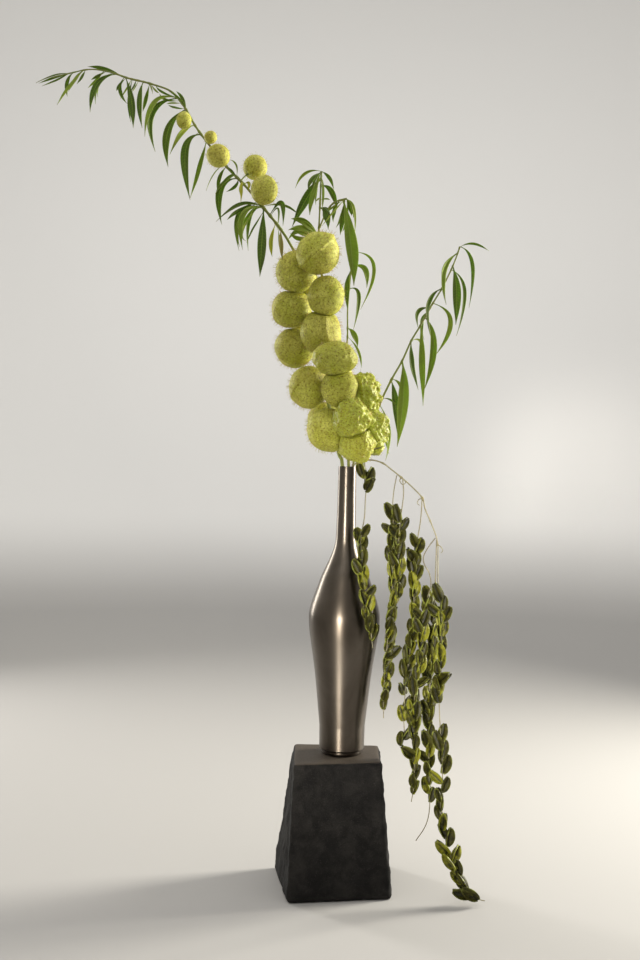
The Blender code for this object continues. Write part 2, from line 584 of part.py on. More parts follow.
def leaf_sections(base, mid, tip, width, index):
    """Flat four-sided rings along a drooping blade."""
    bend = 2 * mid - (base + tip) / 2
    turn = math.radians(LEAF_TURN) * (2 * jitter(index, width) - 1)
    sections = []
    for k in range(LEAF_STATIONS):
        t = k / (LEAF_STATIONS - 1)
        spot = base * (1 - t) ** 2 + bend * 2 * t * (1 - t) + tip * t * t
        forward = ((bend - base) * (1 - t) + (tip - bend) * t).normalized()
        across = forward.cross(Vector((0, 1, 0))).normalized()
        face = across.cross(forward).normalized()
        angle = turn * (0.6 + 0.8 * t)
        side = across * math.cos(angle) + face * math.sin(angle)
        up = forward.cross(side).normalized()
        least = 0.7 - 0.35 * t
        half = max(width / 2 * math.sin(math.pi * t**0.8) ** 0.9, least) if 0 < t < 1 else least
        thick = LEAF_THICKNESS / 2 * (0.6 if k == LEAF_STATIONS - 1 else 1)
        sections.append([spot + side * half, spot + up * thick, spot - side * half, spot - up * thick])
    return sections


def build_leaves(prefix, leaves, path, radii, home):
    """Leaves of one stem: large ones become pieces of their own, the rest are returned to join the stem."""
    joined = []
    for index, (base, mid, tip, width, own) in enumerate(leaves):
        base, mid, tip = Vector(base), Vector(mid), Vector(tip)
        spots = [nearest(line, base) for line in path]
        which = min(range(len(spots)), key=lambda i: (spots[i][0] - base).length)
        spot, direction, share = spots[which]
        if own:
            away = mid - spot
            away = (away - direction * away.dot(direction)).normalized()
            base = spot + away * (along(radii[which], share) + GAP + 0.55)
        else:
            base = spot
        mesh = loft(f"{prefix} {index}", leaf_sections(base, mid, tip, width, index))
        if own:
            place(mesh, f"leaf_{prefix}_{index + 1:02d}", "leaf", home)
        else:
            joined.append(mesh)
    return joined


def capsule(name, root, heading, outward):
    """A three-winged capsule hanging from the point root along heading."""
    side = heading.cross(outward).normalized()
    front = side.cross(heading).normalized()
    sections = []
    for t, wing, core in CAPSULE_RINGS:
        spot = root + heading * (CAPSULE_LENGTH * t)
        ring = []
        for k in range(6):
            angle = math.radians(60 * k)
            reach = core if k % 2 else wing
            ring.append(spot + (front * math.cos(angle) + side * math.sin(angle)) * reach)
        sections.append(ring)
    lowest = min(p.z for ring in sections for p in ring)
    lift = Vector((0, 0, max(0.45 - lowest, 0)))
    return loft(name, [[p + lift for p in ring] for ring in sections])


def vase_radius(height):
    """The vase's outer radius at a height above the table, none above its mouth or below its foot."""
    level = height - STAND_HEIGHT
    for (low, a), (high, b) in zip(VASE_PROFILE, VASE_PROFILE[1:]):
        if low <= level <= high:
            return a + (b - a) * (level - low) / (high - low)
    return 0.0


def capsule_spots(key):
    """Where each capsule of a hanging string stands: its root, its upward heading and its outward side."""
    points, stretches = STRINGS[key]
    path = smooth(points, 8)
    travelled = 0.0
    due = 0.0
    count = 0
    made = []
    for here, after in zip(path, path[1:]):
        span = after - here
        travelled += span.length
        if not any(high >= here.z >= low for high, low in stretches):
            due = travelled
            continue
        if travelled < due:
            continue
        due = travelled + CAPSULE_STEP
        count += 1
        down = span.normalized()
        seed = ord(key) + count
        across = down.cross(Vector((0, 1, 0))).normalized()
        depth = across.cross(down).normalized()
        angle = math.radians((180 if count % 2 else 0) + 130 * (jitter(seed, 1) - 0.5))
        outward = across * math.cos(angle) + depth * math.sin(angle)
        inward = -Vector((here.x, here.y, 0)).normalized()
        if Vector((here.x, here.y)).length - vase_radius(here.z) < 24 and outward.dot(inward) > 0.1:
            outward = outward - inward * 2 * outward.dot(inward)
        tilt = math.radians(120 if count % 6 == 3 else 138 + 24 * jitter(seed, 2))
        heading = down * math.cos(tilt) + outward * math.sin(tilt)
        made.append((here, heading, outward))
    return made


def build_string(key, home):
    name = "string_" + key
    path = smooth(STRINGS[key][0], 1)
    meshes = [tube(name, path, (STRING_RADIUS, STRING_RADIUS), 0)]
    for i, (root, heading, outward) in enumerate(capsule_spots(key)):
        meshes.append(capsule(f"{name} {i}", root, heading, outward))
    union(name, meshes, "capsule", home)


def main():
    clear_scene()
    home = collection("Ikebana arrangement")
    build_stand(home)
    build_vase(home)
    main_path = smooth(STEM_MAIN, 2)
    upright_path = smooth(STEM_UPRIGHT, 2)
    right_path = smooth(STEM_RIGHT, 2)
    high_path = smooth(SHOOT_HIGH, 2)
    low_path = smooth(SHOOT_LOW, 2)
    shoot_radii = (1.3, 1.0)
    stems = [
        (main_path, STEM_MAIN_RADII),
        (upright_path, STEM_UPRIGHT_RADII),
        (right_path, STEM_RIGHT_RADII),
        (high_path, shoot_radii),
        (low_path, shoot_radii),
    ]
    contacts = pod_contacts(stems)
    stalks = {0: [], 1: [], 2: []}
    for key in PODS:
        owner, spot, girth = stalk_ends(key, contacts, stems)
        end = build_pod(key, contacts, spot, home)
        if (end - spot).length > girth + SHORTEST_STALK:
            stalks[owner].append(stalk("stalk_" + key, spot, end))
    for name, prefix, index, leaves, shoots in (
        ("stem_main", "main", 0, LEAVES_MAIN, ()),
        ("stem_upright", "upright", 1, LEAVES_UPRIGHT, (3, 4)),
        ("stem_right", "right", 2, LEAVES_RIGHT, ()),
    ):
        lines = [stems[i] for i in (index, *shoots)]
        paths, girths = zip(*lines)
        joined = build_leaves(prefix, leaves, paths, girths, home)
        trunk = tube(name, *lines[0])
        arms = [tube(f"{name} arm {i}", *line, 0) for i, line in enumerate(lines[1:])]
        union(name, [trunk, *arms, *stalks[index], *joined], "stem", home)
    union("vine", [tube("vine", smooth(VINE, 2), VINE_RADII, 1)], "stem", home)
    for key in STRINGS:
        build_string(key, home)


main()
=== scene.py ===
import math

import bmesh
import bpy
from mathutils import Matrix, Vector


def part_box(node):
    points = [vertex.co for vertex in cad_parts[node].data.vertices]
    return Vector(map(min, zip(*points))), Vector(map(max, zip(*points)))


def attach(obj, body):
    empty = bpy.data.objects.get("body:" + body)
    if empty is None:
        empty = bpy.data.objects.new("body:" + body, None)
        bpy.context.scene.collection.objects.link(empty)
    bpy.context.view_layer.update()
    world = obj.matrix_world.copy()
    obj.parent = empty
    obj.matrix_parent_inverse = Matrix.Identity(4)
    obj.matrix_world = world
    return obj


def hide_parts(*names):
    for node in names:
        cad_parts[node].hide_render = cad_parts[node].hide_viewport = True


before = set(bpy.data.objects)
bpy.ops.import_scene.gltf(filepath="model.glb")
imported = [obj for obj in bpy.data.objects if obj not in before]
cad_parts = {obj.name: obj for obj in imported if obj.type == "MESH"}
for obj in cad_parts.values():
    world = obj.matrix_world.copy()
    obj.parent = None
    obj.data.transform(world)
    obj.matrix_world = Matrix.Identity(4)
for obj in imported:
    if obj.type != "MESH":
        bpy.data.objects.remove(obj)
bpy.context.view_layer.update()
print("frame loaded with", len(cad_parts), "nodes")

mm = 0.001  # points and sizes in the dictionaries below are millimetres, unless they say otherwise


def jitter(a, b):
    return (math.sin(a * 12.9898 + b * 78.233) * 43758.5453) % 1.0  # a fixed number from 0 to 1


def held(value, low=0.0, high=1.0):
    # a value kept between two limits
    return min(max(value, low), high)


def rgb(red, green, blue):
    return (red, green, blue, 1.0)


def smoothLine(points, perSpan):
    # a soft curve through given points, in metres
    knots = [Vector(p) * mm for p in points]
    knots = [2 * knots[0] - knots[1], *knots, 2 * knots[-1] - knots[-2]]
    line = []
    for i in range(1, len(knots) - 2):
        a, b, c, d = knots[i - 1:i + 3]
        for k in range(perSpan):
            t = k / perSpan
            line.append(0.5 * (2 * b + (c - a) * t + (2 * a - 5 * b + 4 * c - d) * t ** 2
                               + (3 * b - a - 3 * c + d) * t ** 3))
    return [*line, knots[-2]]


def along(values, share):
    # a value from a list that is spread evenly over a length
    spot = held(share) * (len(values) - 1)
    i = min(int(spot), len(values) - 2)
    return values[i] + (values[i + 1] - values[i]) * (spot - i)


def nearestOn(line, point):
    # the place on a line that is nearest to a point
    spots = []
    for here, after in zip(line, line[1:]):
        span = after - here
        spots.append(here + span * held((point - here).dot(span) / span.length_squared))
    return min(spots, key=lambda spot: (spot - point).length)


def activate(piece):
    bpy.ops.object.select_all(action="DESELECT")
    piece.select_set(True)
    bpy.context.view_layer.objects.active = piece


def named(name):
    # names the primitive that was just added
    piece = bpy.context.object
    piece.name = name
    piece.data.name = name
    return piece


def added(name, data):
    # an object for a mesh or a curve that was made without one
    piece = bpy.data.objects.new(name, data)
    bpy.context.scene.collection.objects.link(piece)
    return piece


def openEdit(piece):
    # edit mode with everything selected
    activate(piece)
    bpy.ops.object.mode_set(mode="EDIT")
    bpy.ops.mesh.select_all(action="SELECT")


def closeEdit():
    bpy.ops.object.mode_set(mode="OBJECT")


def settle(piece):
    # puts a piece's place, turn and size into its mesh
    activate(piece)
    bpy.ops.object.transform_apply(location=True, rotation=True, scale=True)


def extrudeRing(lift, scale, level):
    # a ring more of a turned shape: lifted, then widened or narrowed at its new level
    bpy.ops.mesh.extrude_region_move(TRANSFORM_OT_translate={"value": (0, 0, lift)})
    bpy.ops.transform.resize(value=(scale, scale, 1), center_override=(0, 0, level))


def faceOut():
    # turns all faces of the open piece outwards
    bpy.ops.mesh.select_all(action="SELECT")
    bpy.ops.mesh.normals_make_consistent(inside=False)


def keep(piece, name, values):
    # stores a number or three for each point of a piece, for its material
    kind, field = ("FLOAT_VECTOR", "vector") if isinstance(values[0], tuple) else ("FLOAT", "value")
    flat = [c for row in values for c in row] if field == "vector" else values
    piece.data.attributes.new(name, kind, "POINT").data.foreach_set(field, flat)


def weigh(piece, name, values):
    # gives each point of a piece a weight, and returns the group's name: the group itself is lost as soon as
    # a modifier is applied, because that makes the piece's groups anew
    group = piece.vertex_groups.new(name=name)
    for index, value in enumerate(values):
        group.add([index], held(value), "REPLACE")
    return group.name


def pick(piece, kind, test):
    # selects the points, edges or faces that pass a test of their place
    bpy.ops.mesh.select_mode(type=kind)
    bpy.ops.mesh.select_all(action="DESELECT")
    mesh = bmesh.from_edit_mesh(piece.data)
    for item in {"VERT": mesh.verts, "EDGE": mesh.edges, "FACE": mesh.faces}[kind]:
        if test(item):
            item.select_set(True)
    mesh.select_flush_mode()
    bmesh.update_edit_mesh(piece.data)


def modify(piece, kind, **settings):
    # adds a modifier, sets it and applies it
    activate(piece)
    step = piece.modifiers.new(kind.title(), kind)
    for key, value in settings.items():
        setattr(step, key, value)
    bpy.ops.object.modifier_apply(modifier=step.name)


def groundTexture(name, kind, size, **settings):
    texture = bpy.data.textures.new(name, kind)
    texture.noise_scale = size * mm
    for key, value in settings.items():
        setattr(texture, key, value)
    return texture


def joinAll(pieces, name):
    activate(pieces[0])
    for piece in pieces[1:]:
        piece.select_set(True)
    if len(pieces) > 1:
        bpy.ops.object.join()
    pieces[0].name = name
    pieces[0].data.name = name
    return pieces[0]


def finish(piece, nodes, materials=(), smoothAngle=None):
    # gives a piece its materials and shading, parents it to what it rides on, and hides the nodes it replaces
    settle(piece)
    if materials:
        piece.data.materials.clear()
        for material in materials:
            piece.data.materials.append(material)
    if smoothAngle is None:
        bpy.ops.object.shade_smooth()
    else:
        bpy.ops.object.shade_smooth_by_angle(angle=math.radians(smoothAngle))
    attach(piece, "root")
    if nodes:
        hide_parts(*nodes)
    return piece


def copyOnto(template, name, spots):
    # one object from copies of a small template, each laid by its matrix and given its tone
    gathered = bmesh.new()
    for matrix, tone in spots:
        copy = template.data.copy()
        copy.transform(matrix)
        if "tone" in copy.attributes:
            copy.attributes["tone"].data.foreach_set("value", [tone] * len(copy.vertices))
        gathered.from_mesh(copy)
        bpy.data.meshes.remove(copy)
    mesh = bpy.data.meshes.new(name)
    gathered.to_mesh(mesh)
    gathered.free()
    for material in template.data.materials:
        mesh.materials.append(material)
    return added(name, mesh)


class Wire:
    # a node's output, so that maths on it reads as an expression
    def __init__(self, tree, socket):
        self.tree = tree
        self.socket = socket

    def maths(self, operation, first, second):
        return addNode(self.tree, "ShaderNodeMath", {"operation": operation}, {0: first, 1: second})

    def __add__(self, other):
        return self.maths("ADD", self, other)

    def __radd__(self, other):
        return self.maths("ADD", other, self)

    def __sub__(self, other):
        return self.maths("SUBTRACT", self, other)

    def __rsub__(self, other):
        return self.maths("SUBTRACT", other, self)

    def __mul__(self, other):
        return self.maths("MULTIPLY", self, other)

    def __rmul__(self, other):
        return self.maths("MULTIPLY", other, self)

    def __abs__(self):
        return self.maths("ABSOLUTE", self, 0.0)


def addNode(tree, kind, settings, inputs, output=0):
    # any node: its type, its settings, the values or links of its sockets, and which output is wanted
    node = tree.nodes.new(kind)
    for key, value in settings.items():
        if key == "stops":
            while len(node.color_ramp.elements) < len(value):
                node.color_ramp.elements.new(0.5)
            for element, (position, colour) in zip(node.color_ramp.elements, value):
                element.position = position
                element.color = colour
        else:
            setattr(node, key, value)
    for key, value in inputs.items():
        if isinstance(value, Wire):
            tree.links.new(value.socket, node.inputs[key])
        else:
            node.inputs[key].default_value = value
    return Wire(tree, node.outputs[output])


def ownPlace(tree):
    # where a point is in its own piece, in metres
    return addNode(tree, "ShaderNodeTexCoord", {}, {}, "Object")


def stored(tree, name, output="Fac"):
    # a number or a vector that the mesh keeps for each point
    return addNode(tree, "ShaderNodeAttribute", {"attribute_name": name}, {}, output)


def parts(vector):
    first = addNode(vector.tree, "ShaderNodeSeparateXYZ", {}, {0: vector})
    return [Wire(vector.tree, output) for output in first.socket.node.outputs]  # x, y and z


def stretched(vector, x, y, z):
    return addNode(vector.tree, "ShaderNodeMapping", {"vector_type": "POINT"},
                   {"Vector": vector, "Scale": (x, y, z)})


def cloud(vector, scale, detail=2.0, rough=0.5, twist=0.0):
    return addNode(vector.tree, "ShaderNodeTexNoise", {}, {
        "Vector": vector, "Scale": scale, "Detail": detail, "Roughness": rough, "Distortion": twist})


def warped(vector, scale, amount):
    # the same place, pushed about by a soft drift, so that regular patterns bend
    drift = addNode(vector.tree, "ShaderNodeTexNoise", {},
                    {"Vector": vector, "Scale": scale, "Detail": 1.0}, 1)
    return addNode(vector.tree, "ShaderNodeVectorMath", {"operation": "MULTIPLY_ADD"},
                   {0: drift, 1: (amount * mm,) * 3, 2: vector})


def cells(vector, scale, feature="F1"):
    return addNode(vector.tree, "ShaderNodeTexVoronoi", {"feature": feature},
                   {"Vector": vector, "Scale": scale}, "Distance")


def rise(value, low, high):
    # 0 below low, 1 above high, soft between
    return addNode(value.tree, "ShaderNodeMapRange", {"interpolation_type": "SMOOTHSTEP"},
                   {"Value": value, "From Min": low, "From Max": high})


def blend(factor, first, second):
    tree = next(value.tree for value in (factor, first, second) if isinstance(value, Wire))
    return addNode(tree, "ShaderNodeMix", {"data_type": "RGBA"}, {0: factor, 6: first, 7: second}, 2)


def ramp(value, stops):
    return addNode(value.tree, "ShaderNodeValToRGB", {"stops": stops}, {"Fac": value}, "Color")


def newMaterial(name, constants):
    material = bpy.data.materials.new(name)
    material.use_nodes = True
    shader = material.node_tree.nodes["Principled BSDF"]
    for key, value in constants.items():
        shader.inputs[key].default_value = value
    return material, material.node_tree, shader


def feed(shader, colour, roughness=None, height=None):
    # links colour and roughness to the shader, and a height with its strength and depth to its normal
    tree = colour.tree
    tree.links.new(colour.socket, shader.inputs["Base Color"])
    if roughness:
        tree.links.new(roughness.socket, shader.inputs["Roughness"])
    if height:
        relief, strength, depth = height
        bump = addNode(tree, "ShaderNodeBump", {},
                       {"Height": relief, "Strength": strength, "Distance": depth * mm})
        tree.links.new(bump.socket, shader.inputs["Normal"])


# the bottle vase, turned from one profile
vase = {
    # height above the foot and outer radius
    "profile": ((0, 25.2), (1.2, 27.2), (4, 28), (9, 28.5), (55, 33.5), (108, 39.2), (151, 45.6),
                (170, 48.5), (188, 49.8), (199, 48.9), (213, 45.4), (230, 39.4), (248, 33), (262, 26.6),
                (272, 22), (282, 18), (290, 15.6), (297, 14.5), (310, 13.8), (350, 12.9), (396, 12.5),
                (399.2, 12.3), (400, 11.8)),
    "wall": 1.5,
    "floor": 5.0,
    "lip": 1.0,  # rounded over, with no wall inside it
    "sides": 128,
    "footRim": 2.0,  # the ring that it stands on
    "dish": 1.2,  # how far the underside rises within that ring
    "dishWidth": 14.0,
    "warm": rgb(0.082, 0.068, 0.054),
    "cool": rgb(0.140, 0.121, 0.100),
    "roughness": 0.25,
    "brushed": 0.55,
}


def vaseRadius(height):
    # the vase's outer radius in metres at a height above the table, none above its mouth or below its foot
    level = (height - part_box("vase")[0].z) / mm
    for (low, a), (high, b) in zip(vase["profile"], vase["profile"][1:]):
        if low <= level <= high:
            return (a + (b - a) * (level - low) / (high - low)) * mm
    return 0.0


def turnedProfile():
    # the outline from the foot up over the lip and down inside, as height and radius in metres
    outer = [(p.x, p.y) for p in smoothLine([(h, r, 0) for h, r in vase["profile"]], 3)]
    mouth = vase["profile"][-1][0]
    inner = [(h, r - vase["wall"]) for h, r in vase["profile"]
             if vase["floor"] + 8 < h < mouth - vase["lip"]]
    inner = [(p.x, p.y) for p in smoothLine([(h, r, 0) for h, r in inner], 2)][::-1]
    bottom = vase["floor"] * mm
    return [*outer, *inner, (bottom + 3 * mm, inner[-1][1] - 0.6 * mm), (bottom, inner[-1][1] - 4 * mm)]


def makePewter():
    material, tree, shader = newMaterial("brushedPewter", {
        "Metallic": 1.0, "Anisotropic": vase["brushed"], "Anisotropic Rotation": 0.25})
    place = ownPlace(tree)
    tarnish = cloud(stretched(place, 1, 1, 0.45), 16, 4, 0.55, 0.6)
    turning = cloud(stretched(place, 9, 9, 900), 1, 3, 0.6)
    smudge = cloud(place, 34, 3, 0.5)
    colour = blend(rise(tarnish, 0.32, 0.7), vase["warm"], vase["cool"])
    colour = blend(0.18 * turning, colour, rgb(0.07, 0.058, 0.046))
    feed(shader, colour=colour, roughness=vase["roughness"] + 0.08 * tarnish + 0.03 * turning + 0.05 * smudge,
         height=(turning, 0.05, 0.03))
    return material


def buildVase():
    outline = turnedProfile()
    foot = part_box("vase")[0].z
    bpy.ops.mesh.primitive_circle_add(vertices=vase["sides"], radius=outline[0][1], fill_type="NOTHING",
                                      location=(0, 0, foot))
    body = named("bottleVase")
    openEdit(body)
    height, radius = outline[0]
    for newHeight, newRadius in outline[1:]:
        extrudeRing(newHeight - height, newRadius / radius, foot + newHeight)
        height, radius = newHeight, newRadius
    bpy.ops.mesh.edge_face_add()
    bpy.ops.mesh.inset(thickness=radius * 0.6)
    pick(body, "EDGE", lambda edge: edge.is_boundary)
    bpy.ops.mesh.edge_face_add()
    bpy.ops.mesh.inset(thickness=vase["footRim"] * mm)
    bpy.ops.transform.translate(value=(0, 0, vase["dish"] * mm))
    bpy.ops.mesh.inset(thickness=vase["dishWidth"] * mm)
    faceOut()
    closeEdit()
    finish(body, ["vase"], [makePewter()], 38)


buildVase()
print("vase turned")


# the stone block
stone = {
    "top": ((-66, -72), (53, -47), (55, 50), (-68, 50)),
    "foot": ((-70, -88), (70, -65), (72, 68), (-94, 50)),
    "corner": 5.0,
    "grain": 2.4,  # between the points of its skin
    "splits": (("VORONOI", 34, -4.2), ("CLOUDS", 14, 2.6), ("CLOUDS", 4.5, 0.9)),  # kind, size and depth
    "topEdge": 5.0,  # the splits fade out towards the top and the foot
    "footEdge": 6.0,
    "topRoughness": 0.04,
    # the split sides' colours are near black as painted shade; the honed top's colour is lighter as painted
    # light
    "dark": rgb(0.006, 0.0057, 0.0054),
    "light": rgb(0.018, 0.0165, 0.015),
    "honedLitTop": rgb(0.070, 0.056, 0.042),
}


def makeStone(top):
    material, tree, shader = newMaterial("splitStone", {"Specular IOR Level": 0.16})
    place = ownPlace(tree)
    mottle = cloud(place, 42, 6, 0.62, 0.4)
    pits = cells(place, 260)
    grains = cloud(place, 700, 3, 0.7)
    height = parts(place)[2]
    # the top is smoother, and its colour is lighter as painted light
    honedLitTop = rise(height, top - 1.6 * mm, top - 0.5 * mm)
    colour = blend(rise(mottle, 0.35, 0.72), stone["dark"], stone["light"])
    colour = blend(honedLitTop, colour, stone["honedLitTop"])
    colour = blend(0.5 * rise(grains, 0.55, 0.75), colour, rgb(0.060, 0.055, 0.048))
    # the pits are painted darker, as painted shade in them
    colour = blend(0.6 * (1 - rise(pits, 0.08, 0.3)), colour, rgb(0.005, 0.005, 0.005))
    feed(shader, colour=colour, roughness=0.86 - 0.22 * honedLitTop - 0.12 * mottle,
         height=(mottle * 0.7 + grains * 0.25 + pits * 0.4, 0.55 - 0.35 * honedLitTop, 1.6))
    return material


def buildStone():
    low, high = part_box("stand")
    bpy.ops.mesh.primitive_cube_add(size=1, location=(0, 0, (low.z + high.z) / 2))
    block = named("stoneBlock")
    corners = {(-1, -1): 0, (1, -1): 1, (1, 1): 2, (-1, 1): 3}
    openEdit(block)
    for (x, y), which in corners.items():
        for z, outline in ((-1, stone["foot"]), (1, stone["top"])):
            pick(block, "VERT", lambda v, x=x, y=y, z=z: v.co.x * x > 0 and v.co.y * y > 0
                 and v.co.z * z > 0 and abs(v.co.x) < 0.51)
            target = Vector((*outline[which], 0)) * mm
            target.z = high.z if z > 0 else low.z
            spot = Vector((0.5 * x, 0.5 * y, (low.z + high.z) / 2 + 0.5 * z))
            bpy.ops.transform.translate(value=target - spot)
    pick(block, "EDGE", lambda e: max(v.co.z for v in e.verts) > -0.4)
    bpy.ops.mesh.bevel(offset=stone["corner"] * mm, segments=3, profile=0.6, affect="EDGES")
    closeEdit()
    modify(block, "REMESH", mode="VOXEL", voxel_size=stone["grain"] * mm)
    settle(block)
    weights = []
    for vert in block.data.vertices:
        side = 1 - held((vert.co.z - high.z + stone["topEdge"] * mm) / (stone["topEdge"] * mm))
        base = held((vert.co.z - low.z) / (stone["footEdge"] * mm))
        weights.append(max(side, stone["topRoughness"]) * base)
    rough = weigh(block, "split sides", weights)
    for number, (kind, size, strength) in enumerate(stone["splits"]):
        texture = groundTexture(f"split{number}", kind, size)
        modify(block, "DISPLACE", texture=texture, texture_coords="LOCAL", strength=strength * mm,
               mid_level=0.5, vertex_group=rough)
    block.vertex_groups.clear()
    for vert in block.data.vertices:
        vert.co.z = held(vert.co.z, low.z, high.z)
    finish(block, ["stand"], [makeStone(high.z)], 50)


buildStone()
print("stone split")


# stems, shoots and the vine: points from the foot in the vase to the tip, and radii spread evenly along them
stems = {
    "main": (((10, -9, 184.1), (5, -7, 330), (-2.5, -4.5, 480), (-7, -2, 580), (-13, 6, 601), (-28, 28, 668),
              (-41, 34, 718), (-51, 35, 768), (-62, 35, 818), (-73, 31, 867), (-91, 22, 901), (-109, 14, 924),
              (-128, 8, 945), (-152, 4, 972), (-176, 2, 995), (-199, 0, 1022), (-221, 0, 1050),
              (-238, 0, 1078), (-257, 0, 1100), (-288, 0, 1111), (-319, 0, 1118), (-344, 0, 1126),
              (-372, 0, 1129), (-400, 0, 1123), (-424, -2, 1116)), (3.2, 3.0, 2.6, 2.2, 1.8, 1.4, 0.7)),
    "upright": (((4, -17, 184.1), (3.4, -13.6, 400), (2.2, -9, 480), (1.6, -6.2, 580), (-1, 16, 633),
                 (-11, 29, 676), (-18, 31, 718), (-25, 27, 761), (-34, 22, 817), (-44, 13, 864),
                 (-47, 6, 898), (-46, 2, 946), (-45, 0, 993)), (2.6, 2.5, 2.4, 2.1, 1.8, 1.5, 1.1)),
    "right": (((17.5, 3, 184.1), (14, 2, 345), (8.6, 0.6, 480), (7.8, 0.4, 580), (19, 9, 607),
               (34, 20, 640), (45, 18, 672), (60, 10, 705), (74, 5, 731), (86, 4, 759), (98, 2, 780),
               (111, 0, 805), (126, -2, 831), (138, -4, 856), (145, -6, 874), (150, -8, 890)),
              (2.3, 2.2, 1.9, 1.6, 1.3, 1.0)),
    "highShoot": (((-46, 4, 915), (-36, 0, 938), (-25, -6, 949), (-9, -10, 953)), (1.3, 1.0)),
    "lowShoot": (((-16, 30, 705), (-4, 24, 753), (-4, 15, 802), (-2, 8, 836), (0, 4, 868), (0, 2, 893)),
                 (1.3, 1.0)),
    "vine": (((17.5, -7, 184.1), (16, -7, 300), (10.5, -5.5, 420), (7, -5, 480), (6.4, -4.6, 576),
              (8.9, -4.8, 582.6), (13, -5.2, 585.8), (23, -7, 589.5), (36, -10, 590), (49, -13, 586),
              (60, -17, 578), (74, -21, 567), (89, -26, 554), (103, -30, 539), (107, -32, 524),
              (114, -35, 508), (122, -38, 488), (125, -40, 474)), (1.3, 1.2, 1.0, 0.85)),
}
bark = {
    "step": 2.4,  # between the rings of a stem
    "joint": 0.45,  # how much a stem swells where a leaf leaves it
    "jointLength": 2.2,
    "green": rgb(0.17, 0.22, 0.040),
    "ripe": rgb(0.26, 0.27, 0.060),
    "brown": rgb(0.17, 0.115, 0.055),
    "tan": rgb(0.31, 0.28, 0.165),
}
paths = {key: smoothLine(points, 8) for key, (points, _) in stems.items()}


def evenly(line, step):
    # the same line with points a step apart
    made = [line[0]]
    left = step
    for here, after in zip(line, line[1:]):
        length = (after - here).length
        done = 0.0
        while length - done > left:
            done += left
            made.append(here.lerp(after, done / length))
            left = step
        left -= length - done
    if (made[-1] - line[-1]).length > step * 0.3:
        made.append(line[-1])
    return made


def tubeAlong(name, line, radii, joints=(), resolution=2, step=None):
    # a round stem as a bevelled curve made a mesh, swollen at its joints
    line = evenly(line, (step or bark["step"]) * mm)
    data = bpy.data.curves.new(name, "CURVE")
    data.dimensions = "3D"
    data.bevel_depth = mm
    data.bevel_resolution = resolution
    data.use_fill_caps = True
    spline = data.splines.new("POLY")
    spline.points.add(len(line) - 1)
    for i, spot in enumerate(line):
        swelling = max((swell * math.exp(-((joint - spot).length / mm / bark["jointLength"]) ** 2)
                        for joint, swell in joints), default=0)
        spline.points[i].co = (*spot, 1)
        spline.points[i].radius = along(radii, i / (len(line) - 1)) * (1 + swelling)
    piece = added(name, data)
    activate(piece)
    bpy.ops.object.convert(target="MESH")
    openEdit(piece)
    bpy.ops.mesh.remove_doubles(threshold=0.00001)
    faceOut()
    closeEdit()
    return piece


def makeBark(name, low, high, fleck):
    material, tree, shader = newMaterial(name, {"Roughness": 0.55, "Specular IOR Level": 0.4})
    place = ownPlace(tree)
    patches = cloud(stretched(place, 1, 1, 0.4), 70, 4, 0.6)
    grain = cloud(stretched(place, 1, 1, 0.16), 900, 3, 0.6)
    flecks = cells(stretched(place, 1, 1, 0.45), 420)
    colour = blend(rise(patches, 0.35, 0.68), low, high)
    colour = blend(0.55 * rise(grain, 0.5, 0.72), colour, fleck)
    colour = blend(0.7 * (1 - rise(flecks, 0.10, 0.24)), colour, fleck)
    feed(shader, colour=colour, roughness=0.46 + 0.25 * grain, height=(grain + (1 - flecks) * 0.5, 0.45, 0.3))
    return material


